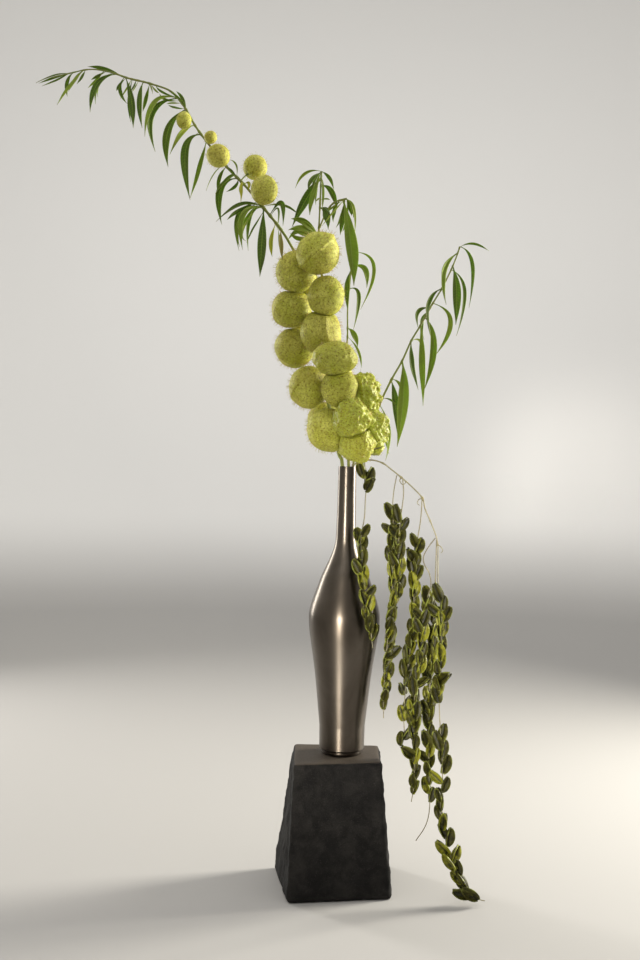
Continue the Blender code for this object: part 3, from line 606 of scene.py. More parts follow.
# the inflated pods: middle, half-sizes across, in depth and up, how crumpled the skin is, its ripeness from
# 0 to 1, how proud its seam stands and how far it sits off the middle, the way the seam faces, and the
# stalk's root
pods = {
    "a": ((-47, -30, 872), (29.4, 29, 29.2), 0, 0.35, (2.6, -0.08), (0.72, 0, 0.70), (-46, 9, 881)),
    "b": ((-78, 4, 852), (28.8, 29, 29.2), 0, 0.30, (0.7, 0), (-0.3, -0.9, -0.9), (-70, 32, 855)),
    "c": ((-35, -20, 815), (25, 26.5, 28.5), 0, 0.30, (0.8, 0), (1, -0.2, 0.1), (-35, 21, 823)),
    "d": ((-83, 18, 802), (28.2, 28, 27.5), 0, 0.40, (0.7, 0), (-0.6, -0.8, 0.2), (-59, 35, 806)),
    "e": ((-42, -6, 767), (27.9, 29, 30.6), 0, 0.45, (2.4, 0.66), (-0.15, 0, 1), (-27, 26, 775)),
    "f": ((-78, 30, 749), (27.8, 28, 29.2), 0, 0.45, (0.8, 0), (-0.2, -0.6, -1), (-47, 35, 749)),
    "g": ((-21, -39, 727), (29.8, 26, 22.8), 0.32, 0.25, (0.9, 0), (-0.9, 0, 0.3), (-21, 30, 733)),
    "h": ((-57, 6, 691), (27.4, 28, 30), 0, 0.45, (0.8, 0), (0.3, -0.9, 0.6), (-35, 32, 694)),
    "i": ((-14, -24, 688), (25.2, 26, 27.2), 0.08, 0.30, (0.8, 0), (1, -0.5, 0.2), (-12, 30, 681)),
    "j": ((-27, -6, 631), (30.6, 29, 30.2), 0.04, 0.35, (0.8, 0), (-0.2, -0.9, -0.5), (-18, 14, 625)),
    "k": ((18, 0, 681), (23.5, 23, 29), 1.0, 0.15, (0.6, 0), (0.6, -0.8, 0), (45, 18, 672)),
    "l": ((3, -42, 646), (23.5, 22, 26.5), 0.9, 0.20, (0.8, 0), (0.2, -1, 0.2), (-7, 25, 660)),
    "m": ((31, -11, 632), (22, 23, 29), 1.0, 0.10, (0.6, 0), (0.9, -0.4, 0), (25, 14, 619)),
    "n": ((12, -27, 613), (24.5, 23, 25.5), 0.6, 0.30, (0.8, 0), (0.4, -0.9, -0.3), (1, 2, 603)),
    "o": ((37, -7, 610), (13, 12.5, 13), 0.9, 0.10, (0.6, 0), (1, 0, 0), (16, 6, 602)),
    "q": ((-33, 55, 648), (25, 25, 26), 0, 0.4, (0.8, 0), (0, 1, 0), (-26, 25, 659)),
    "r": ((-20, 66, 712), (26, 26, 27), 0, 0.4, (0.8, 0), (0.4, 1, 0), (-17, 31, 713)),
    "s": ((-60, 66, 779), (24.5, 24.5, 25), 0, 0.35, (0.8, 0), (-0.4, 1, 0), (-54, 35, 781)),
    "t": ((-64, 52, 836), (24, 24, 25), 0, 0.3, (0.8, 0), (0.2, 1, 0.3), (-66, 34, 837)),
    "u": ((-236, -23, 1053), (10.4, 10.4, 11.8), 0, 0.60, (0.6, 0), (0, -1, 0), (-232, 0, 1068)),
    "v": ((-200, -11, 1034), (9, 9, 9), 0, 0.65, (0.6, 0), (0.3, -1, 0), (-205, 0, 1029)),
    "w": ((-188, -20, 1006), (16, 15.5, 16.2), 0, 0.60, (0.6, 0), (-0.5, -0.8, 0), (-193, 0, 1015)),
    "x": ((-139, 15, 1001), (17, 17, 17.6), 0, 0.45, (0.6, 0), (0.4, -0.9, 0), (-158, 3, 978)),
    "y": ((-124, -8, 963), (18.8, 19, 20.2), 0, 0.45, (0.6, 0), (0.7, -0.7, 0), (-137, 6, 955)),
}
podSkin = {
    "segments": 52,
    "rings": 32,
    "keel": 0.06,  # how proud the seam stands, as a share of the radius
    "keelWidths": (0.30, 0.09),  # one flank of the seam is gentle and the other steep
    "dimple": 0.10,  # depth and width of the hollow round the stalk, as shares of the radius
    "dimpleWidth": 0.02,
    "gap": 0.2,  # between pods that press on one another
    "stemGap": 0.5,
    "near": 2.5,  # nearer neighbours than this press on a pod
    "soft": 1.8,  # how far before a flat the skin starts to give way
    "swell": (("CLOUDS", 24, 2.4), ("CLOUDS", 8, 0.55)),  # kind, size and height
    "creases": ((15, 8.5), (7.5, 4.6), (3.8, 2.2)),  # folds between hollows: their spacing and height
    "pale": rgb(0.68, 0.68, 0.14),
    "green": rgb(0.46, 0.49, 0.050),
    "ripe": rgb(0.50, 0.43, 0.080),
    "fresh": rgb(0.40, 0.46, 0.055),
    # the vein colour marks veins, specks and freckles, and paints shade along the seam
    "veinAndSeamShade": rgb(0.17, 0.125, 0.010),
}


def reachOf(key, way):
    # how far a pod reaches in a direction
    return math.sqrt(sum((size * share) ** 2 for size, share in zip(pods[key][1], way)))


def findFlats():
    # where neighbours and stems press each pod flat: a distance from its middle and a way out, in millimetres
    flats = {key: [] for key in pods}
    for key in pods:
        middle = Vector(pods[key][0])
        for other in pods:
            if other <= key:
                continue
            way = Vector(pods[other][0]) - middle
            apart = way.length
            way.normalize()
            near, far = reachOf(key, way), reachOf(other, way)
            if near + far + podSkin["near"] > apart:
                meet = (apart ** 2 + near ** 2 - far ** 2) / (2 * apart)
                flats[key].append((meet - podSkin["gap"] / 2, way))
                flats[other].append((apart - meet - podSkin["gap"] / 2, -way))
        for stem in ("main", "upright", "right", "highShoot", "lowShoot"):
            for i, spot in enumerate(paths[stem][::2]):
                way = spot / mm - middle
                clear = way.length - along(stems[stem][1], 2 * i / len(paths[stem])) - podSkin["stemGap"]
                way.normalize()
                if clear < reachOf(key, way) + podSkin["near"]:
                    flats[key].append((clear, way))
    return flats


def press(offset, flats):
    # keeps a point behind every flat, easing towards it
    soft = podSkin["soft"] * mm
    for clear, way in [*flats, *flats]:
        over = offset.dot(way) - clear * mm + soft
        if over > 0:
            offset = offset - way * (over - soft * (1 - math.exp(-over / soft)))
    return offset


def podFrame(key):
    # the pod's middle and its own directions: seam, side and stalk
    centre = Vector(pods[key][0]) * mm
    stalk = (Vector(pods[key][6]) * mm - centre).normalized()
    seam = Vector(pods[key][5])
    seam = (seam - stalk * seam.dot(stalk)).normalized()
    return centre, Matrix((seam, stalk.cross(seam), stalk)).transposed()


def makePodSkin():
    material, tree, shader = newMaterial("podSkin", {
        "Subsurface Weight": 0.18, "Subsurface Radius": (1.0, 0.9, 0.12), "Subsurface Scale": 0.005,
        "Specular IOR Level": 0.18})
    place = ownPlace(tree)
    skin = stored(tree, "skin", "Vector")
    tone = stored(tree, "tone")
    _, across, crumple = parts(skin)
    soft = cloud(place, 38, 4, 0.55, 0.3)
    fine = cloud(place, 420, 3, 0.6)
    bent = warped(place, 190, 4.5)
    net = cells(bent, 230, "DISTANCE_TO_EDGE")
    freckles = cells(bent, 250)
    specks = cloud(place, 330, 2, 0.5)
    colour = blend(rise(soft, 0.32, 0.70), podSkin["green"], podSkin["pale"])
    colour = blend(tone * rise(cloud(place, 21, 3, 0.5), 0.34, 0.66), colour, podSkin["ripe"])
    colour = blend(crumple * rise(soft, 0.25, 0.6), colour, podSkin["fresh"])
    colour = blend(0.24 * (1 - rise(net, 0.02, 0.16)), colour, podSkin["veinAndSeamShade"])
    colour = blend(0.34 * rise(specks, 0.50, 0.60), colour, podSkin["veinAndSeamShade"])
    # painted shade: a darker line along the seam
    colour = blend(0.30 * (1 - rise(abs(across), 0.0, 0.03)), colour, podSkin["veinAndSeamShade"])
    colour = blend(0.7 * (1 - rise(freckles, 0.16, 0.34)), colour, podSkin["veinAndSeamShade"])
    colour = blend(0.25 * rise(fine, 0.5, 0.75), colour, rgb(0.66, 0.62, 0.13))
    feed(shader, colour=colour, roughness=0.52 + 0.12 * fine - 0.24 * crumple,
         height=(rise(net, 0.0, 0.12) * 0.6 + fine * 0.35 + soft * 0.5, 0.5, 0.5))
    return material


def keelAt(way, aside):
    # how strongly the seam stands in a direction, fading at the stalk's end
    flank = podSkin["keelWidths"][way.y > aside]
    return math.exp(-abs(way.y - aside) / flank) * (1 - max(way.z, 0) ** 6)


def buildPod(key, material):
    _, sizes, crumple, tone, (proud, aside) = pods[key][:5]
    centre, turn = podFrame(key)
    radius = sum(sizes) / 3
    fine = 1 if radius > 14 else 0.6
    bpy.ops.mesh.primitive_uv_sphere_add(segments=int(podSkin["segments"] * fine) // 4 * 4,
                                         ring_count=int(podSkin["rings"] * fine), radius=mm,
                                         location=(0, 0, 0), rotation=turn.to_euler())
    pod = named("pod" + key.upper())
    directions = [v.co.normalized() for v in pod.data.vertices]
    keep(pod, "skin", [(d.x, d.y - aside, crumple) for d in directions])
    keep(pod, "tone", [tone] * len(directions))
    settle(pod)
    openEdit(pod)
    bpy.ops.transform.resize(value=sizes, center_override=(0, 0, 0))
    bpy.ops.transform.translate(value=centre)
    closeEdit()
    keel = weigh(pod, "keel", [keelAt(d, aside) for d in directions])
    modify(pod, "DISPLACE", strength=podSkin["keel"] * proud * radius * mm, mid_level=0, vertex_group=keel)
    dimple = weigh(pod, "dimple", [math.exp(-(1 - d.z) / podSkin["dimpleWidth"]) for d in directions])
    modify(pod, "DISPLACE", strength=-podSkin["dimple"] * radius * mm, mid_level=0, vertex_group=dimple)
    for number, (kind, size, strength) in enumerate(podSkin["swell"]):
        texture = groundTexture(f"swell{key}{number}", kind, size)
        modify(pod, "DISPLACE", texture=texture, texture_coords="LOCAL", mid_level=0.5,
               strength=strength * mm * radius / 28)
    if crumple:
        modify(pod, "SUBSURF", levels=1, render_levels=1)
        for number, (size, strength) in enumerate(podSkin["creases"]):
            texture = groundTexture(f"crease{key}{number}", "VORONOI", size,
                                    distance_metric="DISTANCE_SQUARED")
            modify(pod, "DISPLACE", texture=texture, texture_coords="LOCAL", mid_level=0.18,
                   strength=strength * mm * crumple * radius / 24)
    pod.vertex_groups.clear()
    for vert in pod.data.vertices:
        vert.co = centre + press(vert.co - centre, podFlats[key])
    return finish(pod, ["pod_" + key], [material])


def plainMaterial(name, colour, roughness, subsurface=0.0):
    material, _, _ = newMaterial(name, {"Base Color": colour, "Roughness": roughness,
                                        "Subsurface Weight": subsurface, "Subsurface Scale": 0.002})
    return material


# one hair: its root, then each joint's lean, length and narrowing
bristle = {
    "spacing": 4.7,
    "foot": 0.7,
    "neck": 0.20,
    "rootHeight": 0.45,
    "joints": ((0.1, 1.7, 0.85), (0.6, 1.8, 0.8), (1.2, 1.3, 0.3)),
    "bareEnd": 0.93,  # none grow nearer the stalk than this share of the pod's height
    "room": 0.9,  # nor where a neighbour is this near
    "root": rgb(0.15, 0.105, 0.012),
    "hair": rgb(0.40, 0.37, 0.10),
}


def buildBristle():
    # one soft hair on its dark root, three-sided, bending over towards its tip
    bpy.ops.mesh.primitive_cone_add(vertices=3, radius1=bristle["foot"] * mm, radius2=bristle["neck"] * mm,
                                    depth=bristle["rootHeight"] * mm, end_fill_type="NGON",
                                    location=(0, 0, 0.05 * mm))
    hair = named("bristle")
    openEdit(hair)
    pick(hair, "FACE", lambda f: f.calc_center_median().z > 0.15 * mm and f.normal.z > 0.9)
    lean, height = 0.0, 0.27
    for side, lift, size in bristle["joints"]:
        lean, height = lean + side, height + lift
        bpy.ops.mesh.extrude_region_move(TRANSFORM_OT_translate={"value": (side * mm, 0, lift * mm)})
        bpy.ops.transform.resize(value=(size, size, 1), center_override=(lean * mm, 0, height * mm))
    closeEdit()
    settle(hair)
    for material in (plainMaterial("bristleRoot", bristle["root"], 0.7),
                     plainMaterial("bristleHair", bristle["hair"], 0.5, 0.2)):
        hair.data.materials.append(material)
    for face in hair.data.polygons:
        face.material_index = 0 if face.center.z < 0.35 * mm else 1
    return hair


def plantBristles(pod, key, hair):
    # hairs spread evenly over the pod, each on the skin under it, none where a neighbour presses
    radius = sum(pods[key][1]) / 3
    centre, turn = podFrame(key)
    count = int(4 * math.pi * radius ** 2 / bristle["spacing"] ** 2)
    seed = ord(key)
    spots = []
    for i in range(count):
        height = 1 - 2 * (i + 0.5) / count
        angle = i * math.pi * (3 - math.sqrt(5)) + 0.9 * (jitter(i, seed) - 0.5)
        ring = math.sqrt(1 - height ** 2)
        if height > bristle["bareEnd"]:
            continue
        way = turn @ Vector((ring * math.cos(angle), ring * math.sin(angle), height))
        hit, spot, normal, _ = pod.ray_cast(centre + way * radius * 2 * mm, -way)
        if not hit:
            continue
        room = min((clear - (spot - centre).dot(out) / mm for clear, out in podFlats[key]), default=9)
        if room < bristle["room"]:
            continue
        normal = (normal * 0.6 + way * 0.4).normalized()
        drift = Vector((jitter(i, 1) - 0.5, jitter(i, 2) - 0.5, jitter(i, 3) - 0.75))
        lean = (drift - normal * drift.dot(normal)).normalized()
        size = (0.7 + 0.45 * jitter(i, seed + 4)) * min(1, 0.45 + radius / 50)
        long = size * min(1, room / 5)
        frameOf = Matrix((lean * size, normal.cross(lean) * size, normal * long)).transposed().to_4x4()
        frameOf.translation = spot - normal * 0.05 * mm
        spots.append((frameOf, 0))
    piece = copyOnto(hair, "pod" + key.upper() + "Bristles", spots)
    return finish(piece, [], (), 60)


podFlats = findFlats()
skin = makePodSkin()
hair = buildBristle()
podBodies = {}
for key in pods:
    podBodies[key] = buildPod(key, skin)
    plantBristles(podBodies[key], key, hair)
bpy.data.objects.remove(hair)
print("pods inflated")


# leaves: base, middle, tip, width and tone (dark, green, bright, pale, yellow or nut brown; dark and bright
# stand partly for painted shade and painted light), a capital letter where the leaf is a piece of its own
leaves = {
    "main": (
        ((-400, 0, 1121), (-424, -3, 1118), (-446, -6, 1106), 5, "d"),
        ((-400, 2, 1120), (-420, 5, 1115), (-441, 8, 1107), 5, "g"),
        ((-380, 0, 1125), (-398, -6, 1104), (-415, -9, 1075), 8, "p"),
        ((-381, 2, 1126), (-393, 6, 1118), (-404, 9, 1100), 5, "g"),
        ((-327, 0, 1119), (-351, 0, 1130), (-375, -2, 1132), 6, "g"),
        ((-335, 0, 1119), (-360, -8, 1106), (-368, -12, 1065), 9, "D"),
        ((-353, 2, 1122), (-365, 8, 1117), (-377, 12, 1107), 6, "p"),
        ((-323, 0, 1115), (-312, -8, 1085), (-308, -10, 1045), 10, "D"),
        ((-324, 2, 1117), (-331, 8, 1104), (-321, 12, 1086), 6, "g"),
        ((-297, 0, 1111), (-301, -6, 1086), (-296, -8, 1046), 9, "D"),
        ((-288, 2, 1111), (-294, 8, 1093), (-299, 12, 1075), 6, "g"),
        ((-256, 0, 1084), (-280, -10, 1081), (-291, -14, 1032), 9, "P"),
        ((-256, 2, 1084), (-285, 8, 1072), (-280, 12, 1019), 11, "D"),
        ((-236, 0, 1076), (-260, -8, 1043), (-260, 2, 995), 12, "G"),
        ((-225, 0, 1053), (-240, -14, 1038), (-255, -20, 1006), 9, "p"),
        ((-235, 0, 1075), (-244, -6, 1087), (-260, -8, 1098), 4, "g"),
        ((-235, 2, 1076), (-242, 5, 1092), (-252, 8, 1104), 5, "g"),
        ((-212, 0, 1043), (-235, -12, 1015), (-226, -16, 945), 13, "G"),
        ((-208, 2, 1031), (-216, 6, 999), (-229, 8, 954), 9, "b"),
        ((-184, 0, 999), (-196, -6, 983), (-205, -8, 960), 3, "p"),
        ((-155, 0, 990), (-173, -10, 980), (-192, -12, 955), 7, "g"),
        ((-155, 2, 989), (-187, 8, 966), (-184, 12, 918), 11, "G"),
        ((-150, -2, 984), (-156, -10, 965), (-156, -14, 943), 11, "y"),
        ((-127, 0, 941), (-157, -10, 942), (-190, -14, 916), 11, "d"),
        ((-127, 2, 941), (-160, 8, 933), (-159, 14, 882), 7, "g"),
        ((-127, 0, 940), (-152, -20, 925), (-151, -26, 875), 9, "b"),
        ((-127, 3, 939), (-145, 20, 933), (-147, 26, 885), 7, "g"),
        ((-127, 0, 939), (-125, -16, 892), (-127, -20, 840), 14, "D"),
        ((-109, 4, 918), (-113, -8, 894), (-111, -10, 870), 7, "y"),
        ((-102, 16, 913), (-99, -14, 888), (-96, -26, 862), 8, "n"),
        ((-127, 2, 942), (-98, 10, 947), (-74, 14, 933), 4, "g"),
        ((-116, 4, 931), (-100, -6, 946), (-97, -10, 913), 8, "d"),
        ((-394, 0, 1122), (-422, 4, 1118), (-445, 6, 1110), 4, "g"),
        ((-394, 0, 1123), (-405, 6, 1113), (-405, 9, 1093), 6, "g"),
        ((-378, 0, 1126), (-382, -3, 1118), (-389, -5, 1106), 4, "d"),
        ((-349, 0, 1123), (-362, 5, 1122), (-372, 8, 1117), 4, "g"),
        ((-341, 0, 1122), (-359, 9, 1115), (-363, 13, 1095), 3, "p"),
        ((-340, 0, 1118), (-360, 5, 1111), (-365, 8, 1083), 5, "d"),
        ((-321, 0, 1117), (-331, 3, 1109), (-335, 5, 1101), 4, "d"),
        ((-314, 0, 1115), (-321, 8, 1107), (-331, 12, 1093), 3, "p"),
        ((-307, 0, 1116), (-311, 4, 1108), (-318, 7, 1100), 5, "d"),
        ((-313, 0, 1114), (-318, 9, 1090), (-316, 14, 1061), 6, "d"),
        ((-304, 0, 1114), (-310, 7, 1107), (-316, 11, 1102), 3, "p"),
        ((-289, 0, 1112), (-285, -3, 1104), (-283, -5, 1095), 3, "p"),
        ((-286, 0, 1112), (-280, -4, 1101), (-273, -8, 1095), 3, "p"),
        ((-256, 0, 1086), (-270, 3, 1100), (-280, 4, 1110), 4, "g"),
        ((-251, 0, 1083), (-266, 6, 1091), (-275, 8, 1100), 4, "b"),
        ((-244, 0, 1083), (-254, -4, 1083), (-263, -6, 1081), 3, "p"),
        ((-239, 0, 1075), (-252, 3, 1079), (-262, 4, 1083), 4, "g"),
        ((-219, 0, 1043), (-229, 8, 1037), (-231, 12, 1032), 4, "p"),
        ((-155, 0, 993), (-164, -4, 998), (-173, -6, 1005), 3, "p"),
        ((-158, 0, 990), (-169, -3, 988), (-176, -3, 996), 5, "g"),
        ((-158, 0, 986), (-165, 6, 972), (-179, 10, 964), 5, "d"),
        ((-173, 0, 1002), (-188, 8, 984), (-191, 12, 963), 6, "g"),
        ((-143, 0, 984), (-146, -5, 973), (-147, -8, 961), 5, "y"),
        ((-141, 0, 943), (-160, -4, 934), (-175, -6, 921), 7, "d"),
        ((-141, 0, 941), (-158, -8, 918), (-156, -12, 882), 6, "b"),
        ((-138, 0, 941), (-149, 10, 928), (-154, 16, 908), 6, "b"),
        ((-136, 0, 940), (-152, -14, 907), (-147, -20, 889), 4, "p"),
        ((-128, 0, 934), (-139, -5, 909), (-147, -9, 889), 5, "g"),
        ((-108, 0, 910), (-101, -6, 890), (-97, -9, 877), 4, "p"),
        ((-114, 0, 929), (-105, 12, 942), (-106, 20, 914), 4, "d"),
    ),
    "upright": (
        ((-48, 2, 903), (-65, -10, 918), (-86, -16, 922), 10, "b"),
        ((-48, 2, 900), (-67, -18, 908), (-89, -26, 904), 10, "b"),
        ((-48, 6, 901), (-71, 12, 913), (-90, 4, 897), 9, "b"),
        ((-46, 0, 994), (-67, -4, 989), (-81, -6, 967), 5, "p"),
        ((-46, 0, 992), (-58, -10, 979), (-63, -14, 963), 7, "g"),
        ((-46, 2, 982), (-63, 10, 962), (-85, 12, 917), 14, "D"),
        ((-47, -2, 986), (-56, -14, 957), (-60, -18, 927), 9, "b"),
        ((-44, 0, 994), (-34, -4, 983), (-27, -6, 966), 7, "g"),
        ((-45, 0, 973), (-31, 4, 967), (-22, 8, 941), 9, "g"),
        ((-44, -2, 986), (-42, -12, 964), (-43, -16, 934), 4, "p"),
        ((-46, 0, 942), (-37, -12, 932), (-34, -16, 908), 15, "D"),
        ((-11, -10, 952), (1, -14, 939), (3, -18, 904), 6, "p"),
        ((-11, -8, 952), (-14, -5, 929), (-17, -6, 903), 8, "g"),
        ((-18, -6, 952), (-26, 0, 939), (-27, 4, 923), 8, "g"),
        ((-9, -10, 951), (-4, -2, 943), (-1, 2, 932), 8, "g"),
        ((-14, -9, 951), (-2, -26, 892), (3, -28, 829), 20, "B"),
        ((0, 3, 882), (31, -4, 861), (13, -10, 799), 6, "p"),
        ((-1, 4, 862), (18, -14, 855), (21, -18, 828), 10, "b"),
        ((-2, 6, 857), (-6, -6, 831), (-4, -8, 796), 9, "g"),
        ((-3, 8, 831), (11, -4, 819), (4, -10, 771), 8, "g"),
        ((-6, 20, 777), (6, 8, 767), (11, 6, 749), 10, "b"),
        ((-7, 22, 765), (12, 14, 745), (17, 14, 720), 4, "p"),
        ((-52, 0, 901), (-69, -14, 903), (-83, -20, 911), 8, "b"),
        ((-52, 0, 900), (-73, -6, 897), (-87, -10, 904), 8, "b"),
        ((-51, 0, 902), (-62, -18, 912), (-74, -26, 916), 8, "b"),
        ((-46, 0, 992), (-55, 3, 979), (-59, 5, 958), 6, "g"),
        ((-46, 0, 991), (-51, -6, 974), (-52, -10, 943), 5, "b"),
        ((-43, 0, 953), (-48, -3, 954), (-53, -5, 948), 2.5, "p"),
        ((-43, 0, 953), (-38, -3, 954), (-32, -5, 952), 2.5, "p"),
        ((-10, -8, 947), (-26, -26, 932), (-43, -36, 908), 3, "p"),
        ((-11, -8, 947), (-28, -1, 943), (-36, 5, 937), 3, "p"),
        ((-10, -8, 946), (-16, 0, 931), (-23, 6, 916), 5, "g"),
        ((-7, -8, 948), (0, -3, 941), (1, 0, 929), 5, "g"),
        ((-4, -10, 947), (-8, -2, 928), (-14, 4, 910), 5, "b"),
    ),
    "right": (
        ((149, -8, 889), (168, -10, 894), (190, -12, 884), 4, "g"),
        ((150, -8, 890), (167, -14, 864), (163, -18, 803), 7, "g"),
        ((145, -8, 882), (128, -18, 852), (131, -24, 806), 13, "B"),
        ((141, -5, 863), (146, -16, 828), (145, -20, 779), 13, "G"),
        ((140, -4, 858), (160, 8, 830), (150, 12, 768), 7, "g"),
        ((126, -2, 832), (108, -10, 808), (112, -14, 761), 11, "D"),
        ((116, 0, 811), (141, 6, 787), (120, 10, 739), 8, "p"),
        ((111, 0, 805), (94, -8, 798), (94, -12, 775), 8, "g"),
        ((108, 2, 800), (101, 12, 787), (105, 16, 762), 7, "g"),
        ((106, 1, 791), (117, -4, 753), (104, -8, 688), 11, "B"),
        ((99, 0, 780), (100, -18, 730), (102, -22, 666), 12, "B"),
        ((86, 4, 759), (87, -6, 728), (96, -10, 689), 10, "D"),
        ((86, 4, 759), (102, 14, 755), (102, 18, 713), 6, "p"),
        ((74, 4, 730), (76, -10, 682), (68, -14, 609), 17, "B"),
        ((60, 8, 705), (73, 10, 696), (77, 12, 673), 6, "p"),
        ((60, 10, 703), (67, 20, 674), (71, 24, 626), 12, "D"),
        ((46, 16, 678), (59, 10, 676), (68, 8, 665), 3, "g"),
        ((44, 16, 669), (57, 2, 633), (53, -4, 590), 7, "p"),
        ((41, 20, 660), (52, 25, 626), (59, 24, 600), 5, "p"),
    ),
}
leaf = {
    "across": 6,
    "along": 18,
    "thick": 0.38,
    "fold": 0.52,  # depth of the groove along the midrib, in half-widths
    "lifts": {0: -1.0, 1: -0.62, 2: -0.14},  # share of that depth by column from the midrib
    "turn": 54,  # the most that a leaf twists, in degrees
    "ruffle": 0.16,  # of the edges, in half-widths
    "tones": {"d": 0.06, "g": 0.28, "b": 0.48, "p": 0.68, "y": 0.85, "n": 1.0},
    "colours": ((0.0, rgb(0.022, 0.036, 0.006)), (0.28, rgb(0.056, 0.078, 0.008)),
                (0.48, rgb(0.15, 0.195, 0.012)), (0.68, rgb(0.235, 0.28, 0.040)),
                (0.85, rgb(0.50, 0.46, 0.030)), (1.0, rgb(0.20, 0.115, 0.040))),
    "rib": rgb(0.22, 0.26, 0.050),
    # the edge colour is a painted highlight along the rims of the blade
    "edge": rgb(0.36, 0.41, 0.09),
}


def leafWidth(share):
    # widest a little past the middle, with a stalk at the base and a fine tip
    return max(math.sin(math.pi * share ** 1.22) ** 1.2, 0.13 * (1 - share) + 0.02)


def buildBlade():
    # a flat blade from -1 to 1 across and 0 to 1 along, narrowed row by row, with a groove along its rib
    bpy.ops.mesh.primitive_grid_add(x_subdivisions=leaf["across"], y_subdivisions=leaf["along"], size=1,
                                    location=(0, 0, 0))
    blade = named("leafBlade")
    openEdit(blade)
    bpy.ops.transform.resize(value=(2, 1, 1), center_override=(0, 0, 0))
    bpy.ops.transform.translate(value=(0, 0.5, 0))
    closeEdit()
    keep(blade, "blade", [tuple(v.co) for v in blade.data.vertices])
    blade.data.attributes.new("tone", "FLOAT", "POINT")
    openEdit(blade)
    for row in range(leaf["along"] + 1):
        share = row / leaf["along"]
        pick(blade, "VERT", lambda v, share=share: abs(v.co.y - share) < 0.01)
        bpy.ops.transform.resize(value=(leafWidth(share), 1, 1), center_override=(0, share, 0))
    for column, lift in leaf["lifts"].items():
        pick(blade, "VERT", lambda v, column=column: abs(
            abs(v.co.x) / leafWidth(v.co.y) * leaf["across"] / 2 - column) < 0.2)
        bpy.ops.transform.translate(value=(0, 0, leaf["fold"] * lift))
    closeEdit()
    return blade


def makeLeafSkin(name, under):
    material, tree, shader = newMaterial(name, {
        "Subsurface Weight": 0.10, "Subsurface Radius": (0.6, 1.0, 0.2), "Subsurface Scale": 0.003,
        "Specular IOR Level": 0.10})
    place = ownPlace(tree)
    spot = stored(tree, "blade", "Vector")
    tone = stored(tree, "tone")
    across, share, _ = parts(spot)
    side = abs(across)
    blotch = cloud(place, 75, 4, 0.6)
    fine = cloud(place, 800, 2, 0.5)
    slanted = addNode(tree, "ShaderNodeCombineXYZ", {}, {1: share - side * 0.05})
    veins = addNode(tree, "ShaderNodeTexWave", {"wave_type": "BANDS", "bands_direction": "Y"},
                    {"Vector": slanted, "Scale": 7.0, "Distortion": 0.6, "Detail": 1.0}, 1)
    colour = ramp(tone + 0.30 * (blotch - 0.5), leaf["colours"])
    colour = blend(0.22 * rise(veins, 0.72, 0.95), colour, leaf["rib"])
    colour = blend((0.75 if under else 0.50) * (1 - rise(side, 0.03, 0.12)), colour, leaf["rib"])
    # a painted highlight, paler, along the edges
    colour = blend(0.6 * rise(side, 0.86, 0.99), colour, leaf["edge"])
    colour = blend(0.5 * rise(share, 0.93, 1.0), colour, rgb(0.30, 0.22, 0.07))
    if under:
        colour = blend(0.25, colour, rgb(0.20, 0.27, 0.08))
    height = rise(side, 0.02, 0.13) * 0.8 + (1 - rise(veins, 0.6, 1.0)) * 0.35 + fine * 0.12
    feed(shader, colour=colour, roughness=(0.50 if under else 0.34) + 0.18 * blotch + 0.1 * fine,
         height=(height, 0.4, 0.35))
    return material


def layLeaf(blade, stem, index):
    # one copy of the blade laid along the curve of its base, middle and tip
    base, mid, tip, width, letter = leaves[stem][index]
    lines = {"main": ("main",), "upright": ("upright", "highShoot", "lowShoot"), "right": ("right",)}[stem]
    base = Vector(base) * mm
    base = min((nearestOn(paths[line], base) for line in lines), key=lambda spot: (spot - base).length)
    mid, tip = Vector(mid) * mm, Vector(tip) * mm
    bend = 2 * mid - (base + tip) / 2
    turn = math.radians(leaf["turn"]) * (2 * jitter(index, width) - 1)
    mesh = blade.data.copy()
    half = width / 2 * mm
    wave = 6 + 5 * jitter(index, 3)
    for vert in mesh.vertices:
        x, t, z = vert.co
        spot = base * (1 - t) ** 2 + bend * 2 * t * (1 - t) + tip * t * t
        forward = ((bend - base) * (1 - t) + (tip - bend) * t).normalized()
        across = forward.cross(Vector((0, 1, 0))).normalized()
        face = across.cross(forward).normalized()
        angle = turn * (0.4 + 1.1 * t)
        side = across * math.cos(angle) + face * math.sin(angle)
        up = forward.cross(side).normalized()
        ruffle = leaf["ruffle"] * math.sin(wave * t + index) * x * (1 if x > 0 else -0.7)
        lift = z * 0.9 * leafWidth(t) + ruffle
        vert.co = spot + side * x * half * (1 - 0.10 * x * x) + up * lift * half
    mesh.attributes["tone"].data.foreach_set(
        "value", [leaf["tones"][letter.lower()] + 0.07 * (jitter(index, 9) - 0.5)] * len(mesh.vertices))
    piece = added(f"{stem}Leaf{index + 1:02d}", mesh)
    piece.data.materials.append(leafTop)
    piece.data.materials.append(leafUnder)
    modify(piece, "SOLIDIFY", thickness=leaf["thick"] * mm, offset=0, material_offset=1,
           material_offset_rim=0)
    return piece


leafTop = makeLeafSkin("leafTop", False)
leafUnder = makeLeafSkin("leafUnderside", True)
blade = buildBlade()
for stem in leaves:
    small = []
    for index, row in enumerate(leaves[stem]):
        piece = layLeaf(blade, stem, index)
        if row[4].isupper():
            finish(piece, [f"leaf_{stem}_{index + 1:02d}"])
        else:
            small.append(piece)
    finish(joinAll(small, stem + "SmallLeaves"), [])
bpy.data.objects.remove(blade)
print("leaves laid")


# the pods that hang on each stem
stalks = {"main": "bdfhjqstuvwxy", "upright": "acegilnr", "right": "kmo"}
stalk = {"radii": (1.6, 1.1, 1.1, 1.2, 1.9), "step": 0.9, "shortest": 3.0, "sunk": 0.5}


